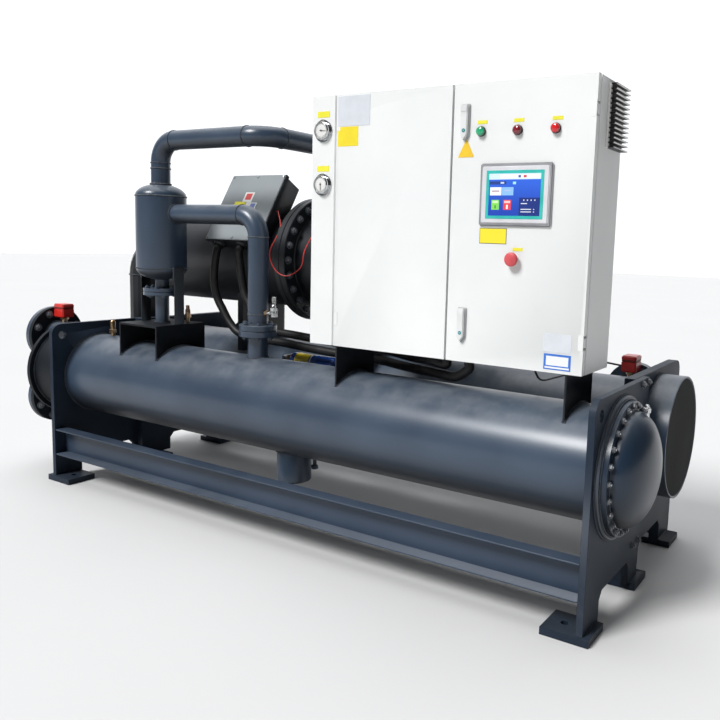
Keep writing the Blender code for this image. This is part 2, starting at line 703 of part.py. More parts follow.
flow_switch("flow_switch_left", box_face - SWITCH_FROM_BOX, CONDENSER_AXIS_Y,
            VESSEL_AXIS_HEIGHT + NOZZLE_OFFSET + NOZZLE_RADIUS, NOZZLE_RADIUS, 0)
right_switch_y = SIDE_NOZZLE_END - SWITCH_FROM_FLANGE
flow_switch("flow_switch_right", -SIDE_NOZZLE_INSET, right_switch_y, side_nozzle_height + SIDE_NOZZLE_RADIUS,
            SIDE_NOZZLE_RADIUS, 1)

# Relief stub on the condenser, and the sump below it
condenser_top = VESSEL_AXIS_HEIGHT + CONDENSER_RADIUS
relief_top = condenser_top + RELIEF_RISE
relief = turned(
    "relief_valve",
    [(VESSEL_AXIS_HEIGHT, 0.0), (VESSEL_AXIS_HEIGHT, RELIEF_RADIUS * 0.8),
     (condenser_top + RELIEF_RISE * 0.2, RELIEF_RADIUS * 0.8), (condenser_top + RELIEF_RISE * 0.2, RELIEF_RADIUS * 1.2),
     (condenser_top + RELIEF_RISE * 0.4, RELIEF_RADIUS * 1.2), (condenser_top + RELIEF_RISE * 0.4, RELIEF_RADIUS),
     (relief_top - RELIEF_RADIUS * 0.4, RELIEF_RADIUS), (relief_top, RELIEF_RADIUS * 0.6), (relief_top, 0.0)],
    2, (-FRAME_LENGTH + RELIEF_INSET, CONDENSER_AXIS_Y, 0.0), BRASS, SMALL_ROUND)
cut(relief, condenser_cutter())
sump_place = -FRAME_LENGTH * SUMP_SHARE
sump_tap_height = SUMP_BOTTOM + SUMP_TAP_RISE
sump = rod("condenser_sump", 2, (sump_place, CONDENSER_AXIS_Y, 0.0), SUMP_BOTTOM, VESSEL_AXIS_HEIGHT,
           SUMP_RADIUS, SLATE, MEDIUM_ROUND)
tap_x = sump_place + SUMP_RADIUS + SUMP_TAP_REACH
tap = tube("tap", bent_route([(sump_place, CONDENSER_AXIS_Y, sump_tap_height), (tap_x, CONDENSER_AXIS_Y, sump_tap_height),
                              (tap_x, CONDENSER_AXIS_Y, sump_tap_height - SUMP_TAP_REACH)], SUMP_TAP_REACH / 2, 5),
           SUMP_TAP_RADIUS, SLATE, 3)
add(sump, tap)
cut(sump, condenser_cutter())

# Compressor: motor, bolted casing flange, rotor housing and end housing
COMPRESSOR_AXIS = (0.0, COMPRESSOR_AXIS_Y, COMPRESSOR_AXIS_HEIGHT)
turned("compressor_motor",
       [(MOTOR_START, 0.0), (MOTOR_START, MOTOR_RADIUS - END_CHAMFER), (MOTOR_START + END_CHAMFER, MOTOR_RADIUS),
        (CASING_FLANGE_START - GAP, MOTOR_RADIUS), (CASING_FLANGE_START - GAP, 0.0)],
       0, COMPRESSOR_AXIS, DARK)
turned("compressor_casing",
       [(CASING_FLANGE_START, 0.0), (CASING_FLANGE_START, CASING_FLANGE_RADIUS),
        (CASING_FLANGE_END, CASING_FLANGE_RADIUS), (CASING_FLANGE_END, ROTOR_RADIUS),
        (ROTOR_END, ROTOR_RADIUS), (ROTOR_END, 0.0)],
       0, COMPRESSOR_AXIS, DARK)
turned("compressor_end_housing",
       [(ROTOR_END + GAP, 0.0), (ROTOR_END + GAP, END_HOUSING_RADIUS),
        (ROTOR_END + END_HOUSING_LENGTH - END_CHAMFER, END_HOUSING_RADIUS),
        (ROTOR_END + END_HOUSING_LENGTH, END_HOUSING_RADIUS - 2 * END_CHAMFER), (ROTOR_END + END_HOUSING_LENGTH, 0.0)],
       0, COMPRESSOR_AXIS, DARK)


def compressor_cutter(radius):
    return along_machine(COMPRESSOR_AXIS, radius)


def compressor_support(name, place, radius):
    made = box(name, place - SUPPORT_THICK / 2, place + SUPPORT_THICK / 2,
               COMPRESSOR_AXIS_Y - SUPPORT_HALF_WIDTH, COMPRESSOR_AXIS_Y + SUPPORT_HALF_WIDTH,
               VESSEL_AXIS_HEIGHT + EVAPORATOR_RADIUS * SUPPORT_SINK, COMPRESSOR_AXIS_HEIGHT - radius * SUPPORT_SINK,
               DARK)
    cut(made, compressor_cutter(radius), evaporator_cutter())
    return made


compressor_support("compressor_support_left", CASING_FLANGE_START - MOTOR_SUPPORT_DISTANCE, MOTOR_RADIUS)
compressor_support("compressor_support_right", CASING_FLANGE_END + ROTOR_SUPPORT_DISTANCE, ROTOR_RADIUS)

# Suction pipe from the left head up into the motor's end
suction_x = -FRAME_LENGTH - SUCTION_OUT
suction_route = bent_route(
    [(suction_x, COMPRESSOR_AXIS_Y, VESSEL_AXIS_HEIGHT),
     (suction_x, COMPRESSOR_AXIS_Y, COMPRESSOR_AXIS_HEIGHT),
     (MOTOR_START - GAP, COMPRESSOR_AXIS_Y, COMPRESSOR_AXIS_HEIGHT)],
    SUCTION_BEND)
suction = tube("suction_pipe", suction_route, SUCTION_RADIUS, DARK, 6)
cut(suction, along_machine(EVAPORATOR_AXIS, HEAD_RADIUS))

# Terminal box leaning on the motor's front shoulder
lean = Matrix.Rotation(-TERMINAL_LEAN, 4, "X")
lid_normal = lean.to_3x3() @ Vector((0, -1, 0))
lid_upward = lean.to_3x3() @ Vector((0, 0, 1))
terminal_x0 = CASING_FLANGE_START - TERMINAL_TO_FLANGE - TERMINAL_LENGTH
lid_centre = (Vector((terminal_x0 + TERMINAL_LENGTH / 2, COMPRESSOR_AXIS_Y, COMPRESSOR_AXIS_HEIGHT))
              + lid_normal * (MOTOR_RADIUS + TERMINAL_STAND_OFF) + lid_upward * TERMINAL_SHIFT_UP)


def leaning_box(name, half_length, half_height, front, back, finish):
    # A block on the lid's leaning plane; front and back are depths below the lid's outer face
    shape = bmesh.new()
    bmesh.ops.create_cube(shape, size=2.0)
    for vertex in shape.verts:
        vertex.co.x *= half_length
        vertex.co.y = front if vertex.co.y < 0 else back
        vertex.co.z *= half_height
    bmesh.ops.transform(shape, matrix=Matrix.Translation(lid_centre) @ lean, verts=shape.verts)
    return from_bmesh(name, shape, finish, smooth=False)


def on_terminal_floor(along, depth, below):
    # A place under the box's lower face, from the lid's middle line and its outer face
    return lid_centre + Vector((along, 0, 0)) - lid_normal * depth - lid_upward * (TERMINAL_HEIGHT / 2 + below)


def gland(centre, direction):
    # A round cable gland whose axis points along direction
    shape = bmesh.new()
    bmesh.ops.create_cone(shape, cap_ends=True, segments=SMALL_ROUND, radius1=GLAND_RADIUS, radius2=GLAND_RADIUS,
                          depth=2 * GLAND_LENGTH)
    turn = Vector((0, 0, 1)).rotation_difference(direction).to_matrix().to_4x4()
    bmesh.ops.transform(shape, matrix=Matrix.Translation(centre) @ turn, verts=shape.verts)
    return from_bmesh("gland", shape, BLACK)


terminal_lid = leaning_box("terminal_lid", TERMINAL_LENGTH / 2, TERMINAL_HEIGHT / 2, 0.0, LID_THICK, LID)
terminal_box = leaning_box("terminal_box", TERMINAL_LENGTH / 2 - LID_THICK, TERMINAL_HEIGHT / 2 - LID_THICK,
                           LID_THICK + GAP, TERMINAL_DEPTH, DARK)
for gland_along in (LEFT_GLAND_ALONG, RIGHT_GLAND_ALONG):
    add(terminal_box, gland(on_terminal_floor(gland_along, GLAND_DEPTH, -LID_THICK), lid_upward))
cut(terminal_box, compressor_cutter(MOTOR_RADIUS))


# Oil separator: an upright vessel with dished ends, a top neck and a bottom drain
def separator_profile():
    profile = [(STAND_TOP + GAP, 0.0), (STAND_TOP + GAP, DRAIN_RADIUS)]
    low = DRAIN_FLANGE_HEIGHT
    profile += [(low, DRAIN_RADIUS), (low, DRAIN_FLANGE_RADIUS), (low + DRAIN_FLANGE_THICK, DRAIN_FLANGE_RADIUS),
                (low + DRAIN_FLANGE_THICK, DRAIN_RADIUS)]
    steps = 6
    for step in range(1, steps + 1):
        turn = math.pi / 2 * step / steps
        radius = SEPARATOR_RADIUS * math.sin(turn)
        if radius > DRAIN_RADIUS:
            profile.append((SEPARATOR_BOTTOM + SEPARATOR_DOME * (1 - math.cos(turn)), radius))
    for step in range(steps + 1):
        turn = math.pi / 2 * step / steps
        radius = SEPARATOR_RADIUS * math.cos(turn)
        if radius > PIPE_RADIUS:
            profile.append((SEPARATOR_TOP - SEPARATOR_DOME * (1 - math.sin(turn)), radius))
    profile += [(SEPARATOR_TOP, PIPE_RADIUS), (NECK_TOP, PIPE_RADIUS), (NECK_TOP, 0.0)]
    return profile


SEPARATOR_AXIS = (SEPARATOR_PLACE, CONDENSER_AXIS_Y, 0.0)
turned("oil_separator", separator_profile(), 2, SEPARATOR_AXIS, SLATE, ROUND)

# Separator stand: a top plate on two saddle plates, with two flat legs up to the vessel
stand_front = CONDENSER_AXIS_Y - STAND_FORWARD
stand_back = CONDENSER_AXIS_Y + STAND_FORWARD
leg_top = SEPARATOR_BOTTOM + LEG_LAP
stand = box("separator_stand", SEPARATOR_PLACE - STAND_HALF_LENGTH, SEPARATOR_PLACE + STAND_HALF_LENGTH,
            stand_front, stand_back, STAND_TOP - STAND_PLATE, STAND_TOP, SLATE)
for side_sign in (-1, 1):
    inner_face = SEPARATOR_PLACE + side_sign * (STAND_HALF_LENGTH - STAND_PLATE)
    outer_face = SEPARATOR_PLACE + side_sign * STAND_HALF_LENGTH
    add(stand, box("saddle", min(inner_face, outer_face), max(inner_face, outer_face), stand_front, stand_back,
                   VESSEL_AXIS_HEIGHT, STAND_TOP - STAND_PLATE / 2, SLATE))
    near = SEPARATOR_PLACE + side_sign * (SEPARATOR_RADIUS + GAP)
    far = near + side_sign * LEG_THICK
    add(stand, box("leg", min(near, far), max(near, far), CONDENSER_AXIS_Y - LEG_WIDTH / 2,
                   CONDENSER_AXIS_Y + LEG_WIDTH / 2, STAND_TOP - STAND_PLATE / 2, leg_top, SLATE))
cut(stand, condenser_cutter())

# Discharge pipe from the separator's top, along, then back and down to the compressor
top_route = bent_route(
    [(SEPARATOR_PLACE, CONDENSER_AXIS_Y, NECK_TOP + GAP),
     (SEPARATOR_PLACE, CONDENSER_AXIS_Y, TOP_PIPE_HEIGHT),
     (TOP_PIPE_TURN, CONDENSER_AXIS_Y, TOP_PIPE_HEIGHT),
     (TOP_PIPE_TURN, COMPRESSOR_AXIS_Y, TOP_PIPE_HEIGHT),
     (TOP_PIPE_TURN, COMPRESSOR_AXIS_Y, COMPRESSOR_AXIS_HEIGHT)],
    TOP_PIPE_BEND)
top_pipe = tube("top_discharge_pipe", top_route, PIPE_RADIUS, SLATE)
cut(top_pipe, compressor_cutter(ROTOR_RADIUS))

# Side pipe from the separator down to the condenser, joined by a flange pair
flange_low = GAS_FLANGE_MIDDLE - GAS_FLANGE_THICK
flange_high = GAS_FLANGE_MIDDLE + GAS_FLANGE_THICK + GAP
side_route = bent_route(
    [(SEPARATOR_PLACE, CONDENSER_AXIS_Y, SIDE_PIPE_HEIGHT),
     (SIDE_PIPE_PLACE, CONDENSER_AXIS_Y, SIDE_PIPE_HEIGHT),
     (SIDE_PIPE_PLACE, CONDENSER_AXIS_Y, flange_high - OVERRUN)],
    SIDE_PIPE_BEND)
side_pipe = tube("side_discharge_pipe", side_route, PIPE_RADIUS, SLATE)
SIDE_PIPE_AXIS = (SIDE_PIPE_PLACE, CONDENSER_AXIS_Y, 0.0)
add(side_pipe, rod("flange", 2, SIDE_PIPE_AXIS, GAS_FLANGE_MIDDLE + GAP, flange_high, GAS_FLANGE_RADIUS, SLATE,
                   MEDIUM_ROUND))
cut(side_pipe, rod("cutter", 2, SEPARATOR_AXIS, SEPARATOR_BOTTOM, SEPARATOR_TOP, SEPARATOR_RADIUS + GAP, SLATE, ROUND))
inlet = turned("condenser_inlet",
               [(VESSEL_AXIS_HEIGHT, 0.0), (VESSEL_AXIS_HEIGHT, PIPE_RADIUS), (flange_low, PIPE_RADIUS),
                (flange_low, GAS_FLANGE_RADIUS), (GAS_FLANGE_MIDDLE, GAS_FLANGE_RADIUS), (GAS_FLANGE_MIDDLE, 0.0)],
               2, SIDE_PIPE_AXIS, SLATE, 32)
cut(inlet, condenser_cutter())

# Service valve on a stub of the side pipe, and an oil valve beside the separator's drain
valve_x = SIDE_PIPE_PLACE + VALVE_OUT
valve_z = flange_high + VALVE_RISE
valve = turned(
    "service_valve",
    [(valve_z - VALVE_BODY_RADIUS, 0.0), (valve_z - VALVE_BODY_RADIUS, VALVE_BODY_RADIUS),
     (valve_z + VALVE_HEIGHT * 0.5, VALVE_BODY_RADIUS), (valve_z + VALVE_HEIGHT * 0.5, VALVE_STUB_RADIUS),
     (valve_z + VALVE_HEIGHT * 0.7, VALVE_STUB_RADIUS), (valve_z + VALVE_HEIGHT * 0.7, VALVE_STUB_RADIUS * 1.4),
     (valve_z + VALVE_HEIGHT, VALVE_STUB_RADIUS * 1.2), (valve_z + VALVE_HEIGHT, 0.0)],
    2, (valve_x, CONDENSER_AXIS_Y, 0.0), STEEL, FINE_ROUND)
add(valve, rod("stub", 0, (0.0, CONDENSER_AXIS_Y, valve_z), SIDE_PIPE_PLACE, valve_x, VALVE_STUB_RADIUS, STEEL,
               FINE_ROUND))
cut(valve, rod("cutter", 2, SIDE_PIPE_AXIS, flange_high, SIDE_PIPE_HEIGHT, PIPE_RADIUS + GAP, STEEL, MEDIUM_ROUND))
oil_valve_axis = (SEPARATOR_PLACE + OIL_VALVE_OFFSET[0], CONDENSER_AXIS_Y + OIL_VALVE_OFFSET[1], STAND_TOP + GAP)
turned("oil_valve",
       [(0.0, 0.0), (0.0, VALVE_STUB_RADIUS), (OIL_VALVE_HEIGHT * 0.3, VALVE_STUB_RADIUS),
        (OIL_VALVE_HEIGHT * 0.3, VALVE_BODY_RADIUS), (OIL_VALVE_HEIGHT * 0.7, VALVE_BODY_RADIUS),
        (OIL_VALVE_HEIGHT * 0.7, VALVE_STUB_RADIUS), (OIL_VALVE_HEIGHT, VALVE_STUB_RADIUS), (OIL_VALVE_HEIGHT, 0.0)],
       2, oil_valve_axis, BRASS, FINE_ROUND)

# Filter drier in the liquid line between the two vessels
drier_y = CONDENSER_AXIS_Y + DRIER_BEHIND_CONDENSER
drier_right = -FRAME_LENGTH * DRIER_RIGHT_SHARE
drier_left = drier_right - DRIER_LENGTH
drier = turned(
    "filter_drier",
    [(drier_left - DRIER_RADIUS * 0.5, 0.0), (drier_left - DRIER_RADIUS * 0.5, LINE_RADIUS * 1.2),
     (drier_left, DRIER_RADIUS), (drier_right, DRIER_RADIUS),
     (drier_right + DRIER_RADIUS * 0.5, LINE_RADIUS * 1.2), (drier_right + DRIER_RADIUS * 0.5, 0.0)],
    0, (0.0, drier_y, DRIER_HEIGHT), BLUE, SMALL_ROUND)
line_left = drier_left - LINE_RUN
line_right = drier_right + LINE_RUN
line_route = bent_route(
    [(line_left, EVAPORATOR_AXIS_Y, DRIER_HEIGHT), (line_left, drier_y, DRIER_HEIGHT),
     (line_right, drier_y, DRIER_HEIGHT), (line_right, CONDENSER_AXIS_Y, DRIER_HEIGHT)],
    LINE_BEND, 5)
add(drier, tube("line", line_route, LINE_RADIUS, BLUE, 3))
cut(drier, condenser_cutter(), evaporator_cutter())

# Vent plug on the cover's upper face
plug_turn = math.radians(PLUG_TURN_DEGREES)
plug_place = (COVER_FLANGE_THICK + COVER_RING_THICK + PLUG_SETBACK, CONDENSER_AXIS_Y + PLUG_SIDE, VESSEL_AXIS_HEIGHT)
plug = rod("vent_plug", 2, plug_place, 0.0, COVER_DOME_RADIUS * math.cos(plug_turn) + PLUG_RISE, PLUG_RADIUS, STEEL, 6)
cut(plug, turned("cutter", cover_profile(GAP), 0, CONDENSER_AXIS, SLATE, ROUND))

# Cabinet: an open-fronted steel box with a fixed gauge strip at its left
cabinet_top = CABINET_TOP
cabinet_back = CABINET_BACK
body_front = CABINET_FRONT + DOOR_THICK + DOOR_BACK_GAP
strip_right = CABINET_LEFT + STRIP_WIDTH
opening_left = strip_right + RIM
opening_right = CABINET_RIGHT - RIM
cabinet = box("cabinet_body", CABINET_LEFT, CABINET_RIGHT, body_front, cabinet_back, CABINET_BOTTOM, cabinet_top, WHITE)
add(cabinet, box("strip", CABINET_LEFT, strip_right, CABINET_FRONT, body_front + SHEET,
                 CABINET_BOTTOM, cabinet_top, WHITE))
cut(cabinet, box("room", CABINET_LEFT + SHEET, CABINET_RIGHT - SHEET, body_front + SHEET, cabinet_back - SHEET,
                 CABINET_BOTTOM + SHEET, cabinet_top - SHEET, WHITE))
cut(cabinet, box("opening", opening_left, opening_right, body_front - OVERRUN, body_front + OVERRUN,
                 CABINET_BOTTOM + RIM, cabinet_top - RIM, WHITE))
cut(cabinet, box("strip_room", CABINET_LEFT + SHEET, strip_right - SHEET, CABINET_FRONT + SHEET,
                 body_front + SHEET * 1.5, CABINET_BOTTOM + SHEET, cabinet_top - SHEET, WHITE))

# Mounting panel inside, on four bosses of the back wall
panel_x0 = opening_left + PANEL_MARGIN
panel_x1 = opening_right - PANEL_MARGIN
panel_z0 = CABINET_BOTTOM + RIM + PANEL_MARGIN
panel_z1 = cabinet_top - RIM - PANEL_MARGIN
boss_front = cabinet_back - SHEET - PANEL_BOSS_LENGTH
for boss_x in (panel_x0 + PANEL_BOSS_INSET, panel_x1 - PANEL_BOSS_INSET):
    for boss_z in (panel_z0 + PANEL_BOSS_INSET, panel_z1 - PANEL_BOSS_INSET):
        add(cabinet, rod("boss", 1, (boss_x, 0.0, boss_z), boss_front, cabinet_back - SHEET / 2,
                         PANEL_BOSS_RADIUS, WHITE, FINE_ROUND))
box("mounting_panel", panel_x0, panel_x1, boss_front - GAP - PANEL_THICK, boss_front - GAP, panel_z0, panel_z1, STEEL)

# Doors: each leaf turns on two short pins held by barrels of the cabinet
seam_centre = strip_right + DOOR_SEAM + LEFT_DOOR_WIDTH
left_door_edges = (strip_right + DOOR_SEAM, seam_centre)
right_door_edges = (seam_centre + DOOR_SEAM, CABINET_RIGHT)
hinge_y = CABINET_FRONT + HINGE_INSET
hinge_heights = (CABINET_BOTTOM + HINGE_END_DISTANCE, cabinet_top - HINGE_END_DISTANCE)


def door(name, x0, x1, hinge_x, toward):
    # toward is +1 when the leaf lies on the hinge's +X side
    made = box(name, x0, x1, CABINET_FRONT, CABINET_FRONT + DOOR_THICK, CABINET_BOTTOM, cabinet_top, WHITE)
    for height in hinge_heights:
        z0 = height - HINGE_NOTCH_HEIGHT / 2
        z1 = height + HINGE_NOTCH_HEIGHT / 2
        outer = hinge_x - toward * OVERRUN
        inner = hinge_x + toward * (HINGE_NOTCH_DEPTH - HINGE_INSET)
        cut(made, box("notch", min(outer, inner), max(outer, inner), CABINET_FRONT - OVERRUN,
                      CABINET_FRONT + DOOR_THICK + OVERRUN, z0, z1, WHITE))
        add(made, rod("pin", 2, (hinge_x, hinge_y, 0.0), z0 - PIN_REACH, z1 + PIN_REACH, HINGE_PIN_RADIUS, STEEL,
                      FINE_ROUND))
        barrel = rod("barrel", 2, (hinge_x, hinge_y, 0.0), height - HINGE_BARREL_HEIGHT / 2,
                     height + HINGE_BARREL_HEIGHT / 2, HINGE_BARREL_RADIUS, WHITE, 16)
        web_half_height = HINGE_BARREL_HEIGHT / 2 - HINGE_WEB_INSET
        add(barrel, box("web", hinge_x - HINGE_WEB_HALF, hinge_x + HINGE_WEB_HALF, hinge_y, body_front + SHEET / 2,
                        height - web_half_height, height + web_half_height, WHITE))
        cut(barrel, rod("bore", 2, (hinge_x, hinge_y, 0.0), height - HINGE_NOTCH_HEIGHT, height + HINGE_NOTCH_HEIGHT,
                        HINGE_PIN_RADIUS + GAP, WHITE, FINE_ROUND))
        add(cabinet, barrel)
    return made


left_hinge_x = left_door_edges[0] + HINGE_INSET
right_hinge_x = right_door_edges[1] - HINGE_INSET
left_door = door("left_door", *left_door_edges, left_hinge_x, 1)
right_door = door("right_door", *right_door_edges, right_hinge_x, -1)


def on_cabinet(place):
    return CABINET_LEFT + place[0], CABINET_BOTTOM + place[1]


# Stop button: a mushroom head whose stem slides in the door
stop_x, stop_z = on_cabinet(STOP_PLACE)
stop_axis = (stop_x, CABINET_FRONT, stop_z)
add(right_door, rod("collar", 1, stop_axis, -STOP_COLLAR_THICK, DOOR_THICK / 4, STOP_COLLAR_RADIUS, WHITE))
cut(right_door, rod("bore", 1, stop_axis, -DOOR_THICK, DOOR_THICK * 0.9, STOP_STEM_RADIUS + GAP, WHITE))
head_front = -STOP_STAND_OFF - STOP_THICK
turned("stop_button",
       [(head_front, 0.0), (head_front, STOP_RADIUS - 0.004), (head_front + 0.004, STOP_RADIUS),
        (-STOP_STAND_OFF, STOP_RADIUS), (-STOP_STAND_OFF, STOP_STEM_RADIUS),
        (STOP_STEM_LENGTH - 0.010, STOP_STEM_RADIUS), (STOP_STEM_LENGTH - 0.010, 0.0)],
       1, stop_axis, RED, SMALL_ROUND)

# Screen, lamps and handles on the right door
screen_x, screen_z = on_cabinet(SCREEN_PLACE)
screen_front = CABINET_FRONT - GAP - SCREEN_THICK
screen = box("touch_screen", screen_x - SCREEN_SIZE[0] / 2, screen_x + SCREEN_SIZE[0] / 2, screen_front,
             CABINET_FRONT - GAP, screen_z - SCREEN_SIZE[1] / 2, screen_z + SCREEN_SIZE[1] / 2, BEZEL)
cut(screen, box("glass", screen_x - SCREEN_SIZE[0] / 2 + SCREEN_BORDER, screen_x + SCREEN_SIZE[0] / 2 - SCREEN_BORDER,
                screen_front - OVERRUN, screen_front + SCREEN_RECESS,
                screen_z - SCREEN_SIZE[1] / 2 + SCREEN_BORDER, screen_z + SCREEN_SIZE[1] / 2 - SCREEN_BORDER, BEZEL))
for lamp_name, lamp_place, lens in zip(("lamp_green", "lamp_dark_red", "lamp_red"), LAMP_PLACES, (GREEN, DARK_RED, RED)):
    lamp_x, lamp_z = on_cabinet(lamp_place)
    turned(lamp_name,
           [(-LAMP_THICK, 0.0), (-LAMP_THICK, LAMP_RADIUS - 0.005), (-LAMP_THICK + 0.004, LAMP_RADIUS - 0.003),
            (-0.005, LAMP_RADIUS - 0.003), (-0.005, LAMP_RADIUS), (-GAP, LAMP_RADIUS), (-GAP, 0.0)],
           1, (lamp_x, CABINET_FRONT, lamp_z), lens, 20)
for handle_name, handle_place in zip(("handle_upper", "handle_lower"), HANDLE_PLACES):
    handle_x, handle_z = on_cabinet(handle_place)
    plate = box(handle_name, handle_x - HANDLE_SIZE[0] / 2, handle_x + HANDLE_SIZE[0] / 2,
                CABINET_FRONT - GAP - HANDLE_PLATE_THICK, CABINET_FRONT - GAP,
                handle_z - HANDLE_SIZE[1] / 2, handle_z + HANDLE_SIZE[1] / 2, HANDLE_WHITE)
    lever_low = handle_z - HANDLE_SIZE[1] / 2 + HANDLE_PLATE_THICK
    add(plate, box("lever", handle_x - HANDLE_LEVER_SIZE[0] / 2, handle_x + HANDLE_LEVER_SIZE[0] / 2,
                   CABINET_FRONT - HANDLE_LEVER_THICK, CABINET_FRONT - HANDLE_PLATE_THICK / 2,
                   lever_low, lever_low + HANDLE_LEVER_SIZE[1], HANDLE_WHITE))
    lock_z = lever_low + HANDLE_LEVER_SIZE[1] + HANDLE_LOCK_RADIUS * 1.5
    add(plate, rod("lock", 1, (handle_x, CABINET_FRONT, lock_z), -HANDLE_LEVER_THICK + GAP * 5,
                   -HANDLE_PLATE_THICK / 2, HANDLE_LOCK_RADIUS, HANDLE_WHITE, SMALL_ROUND))

# Pressure gauges on the fixed strip
for gauge_name, gauge_place in zip(("gauge_upper", "gauge_lower"), GAUGE_PLACES):
    gauge_x, gauge_z = on_cabinet(gauge_place)
    turned(gauge_name,
           [(-GAUGE_THICK, 0.0), (-GAUGE_THICK, GAUGE_RADIUS - 0.009), (-0.004, GAUGE_RADIUS - 0.007),
            (-0.004, GAUGE_RADIUS), (-GAP, GAUGE_RADIUS), (-GAP, 0.0)],
           1, (gauge_x, CABINET_FRONT, gauge_z), STEEL, 32)

# Finned vent on the cabinet's right side: one extruded comb
def comb_outline():
    root = CABINET_RIGHT + GAP
    base = root + VENT_BASE
    tip = CABINET_RIGHT + VENT_THICK
    low = CABINET_BOTTOM + VENT_BOTTOM
    pitch = (VENT_HEIGHT - VENT_FIN_THICK) / (VENT_FINS - 1)
    outline = []
    for fin in range(VENT_FINS):
        z0 = low + fin * pitch
        outline += [(base, z0), (tip, z0), (tip, z0 + VENT_FIN_THICK), (base, z0 + VENT_FIN_THICK)]
    outline[0] = (tip, low)
    outline[1] = (tip, low + VENT_FIN_THICK)
    del outline[2]
    outline[-1] = (root, low + VENT_HEIGHT)
    return [(root, low)] + outline


vent_rear = cabinet_back - VENT_REAR_MARGIN
extruded("side_vent", comb_outline(), 1, vent_rear - VENT_DEPTH, vent_rear, ALUMINIUM)

# Brackets that carry the cabinet on the condenser
for bracket_name, bracket_place in zip(("cabinet_bracket_left", "cabinet_bracket_right"), (CABINET_LEFT + BRACKET_LEFT_INSET, CABINET_RIGHT - BRACKET_RIGHT_INSET)):
    bracket = box(bracket_name, bracket_place - BRACKET_THICK / 2, bracket_place + BRACKET_THICK / 2,
                  CABINET_FRONT, cabinet_back, condenser_top - BRACKET_SINK, CABINET_BOTTOM - GAP, SLATE)
    cut(bracket, condenser_cutter())

# Conduits from the terminal box down behind the side pipe, under the cabinet and up into its floor
ROUTE_STEPS = 24


def smooth_route(places, spacing):
    # Even points on a Catmull-Rom curve through the route's own places
    places = [Vector(place) for place in places]
    chain = [2 * places[0] - places[1]] + places + [2 * places[-1] - places[-2]]
    fine = []
    for a, b, c, d in zip(chain[:-3], chain[1:-2], chain[2:-1], chain[3:]):
        for step in range(ROUTE_STEPS):
            t = step / ROUTE_STEPS
            fine.append(0.5 * (2 * b + (c - a) * t + (2 * a - 5 * b + 4 * c - d) * t ** 2
                               + (3 * b - 3 * c + d - a) * t ** 3))
    fine.append(places[-1])
    lengths = [0.0]
    for before, after in zip(fine[:-1], fine[1:]):
        lengths.append(lengths[-1] + (after - before).length)
    count = max(2, round(lengths[-1] / spacing))
    even = []
    for index in range(count + 1):
        target = lengths[-1] * index / count
        place = min(range(len(fine)), key=lambda number: abs(lengths[number] - target))
        even.append(fine[place])
    return even


def held_route(start, start_way, places, end, end_way, lead, spacing):
    # Leaves both fittings squarely for a short lead, with the smooth curve between the leads
    curve = smooth_route([start + start_way * lead] + places + [end + end_way * lead], spacing)
    return [start] + curve + [end]


def conduit(name, gland_along, entry, behind_axis, lie, under):
    # entry is where it rises into the cabinet's floor, from the cabinet's left edge and the condenser's axis
    # lie and under are its heights over the condenser, behind the side pipe and under the cabinet
    start = on_terminal_floor(gland_along, GLAND_DEPTH, GLAND_LENGTH - LID_THICK + GAP)
    entry = Vector((CABINET_LEFT + entry[0], CONDENSER_AXIS_Y + entry[1], CABINET_BOTTOM))
    add(cabinet, gland(entry, Vector((0, 0, 1))))
    end = entry - Vector((0, 0, GLAND_LENGTH + GAP))
    behind = CONDENSER_AXIS_Y + behind_axis
    lie = condenser_top + lie
    under = condenser_top + under
    drop = start.z - lie - CONDUIT_TURN
    bracket_x = CABINET_LEFT + BRACKET_LEFT_INSET
    places = [
        Vector((start.x - CONDUIT_RADIUS * 0.6, behind, start.z - drop * 0.40)),
        Vector((start.x + CONDUIT_RADIUS * 0.4, behind, start.z - drop * 0.64)),
        Vector((start.x + drop * 0.16, behind, start.z - drop * 0.84)),
        Vector((start.x + drop * 0.44, behind, lie + CONDUIT_RADIUS)),
        Vector((SIDE_PIPE_PLACE, behind, lie)),
        Vector((CABINET_LEFT, behind, under)),
        Vector((bracket_x, behind, under)),
        Vector(((bracket_x + end.x) / 2, (behind + end.y) / 2, under)),
        Vector((end.x - 2 * CONDUIT_RADIUS, end.y, under + CONDUIT_RADIUS * 0.6)),
    ]
    route = held_route(start, -lid_upward, places, end, Vector((0, 0, -1)), 1.5 * CONDUIT_RADIUS, CONDUIT_SPACING)
    return tube(name, route, CONDUIT_RADIUS, BLACK, 3)


conduit("conduit_left", LEFT_GLAND_ALONG, LEFT_ENTRY, LEFT_BEHIND, LEFT_LIE, LEFT_UNDER)
conduit("conduit_right", RIGHT_GLAND_ALONG, RIGHT_ENTRY, RIGHT_BEHIND, RIGHT_LIE, RIGHT_UNDER)

# Sensor wire from the terminal box round the casing flange to the rotor casing
casing_front = COMPRESSOR_AXIS_Y - CASING_FLANGE_RADIUS
sensor_way = Vector((0, math.cos(SENSOR_TURN), math.sin(SENSOR_TURN)))
sensor_end = (Vector((CASING_FLANGE_END + SENSOR_REACH, COMPRESSOR_AXIS_Y, COMPRESSOR_AXIS_HEIGHT))
              + sensor_way * (ROTOR_RADIUS + GAP))
wire_start = lid_centre - lid_normal * TERMINAL_DEPTH * 0.3
wire_start.x = terminal_x0 + TERMINAL_LENGTH - LID_THICK + GAP
sag_shape = ((-0.2, 2.5, 0.28), (0.0, -0.9, 0.64), (0.5, -1.0, 0.90), (1.4, -0.4, 1.00), (2.4, 0.5, 0.86), (2.6, 1.0, 0.60))
sensor_places = [
    Vector((CASING_FLANGE_START + along * CASING_FLANGE_LENGTH, casing_front + inward * SENSOR_CLEAR,
            wire_start.z - down * SENSOR_SAG))
    for along, inward, down in sag_shape
]
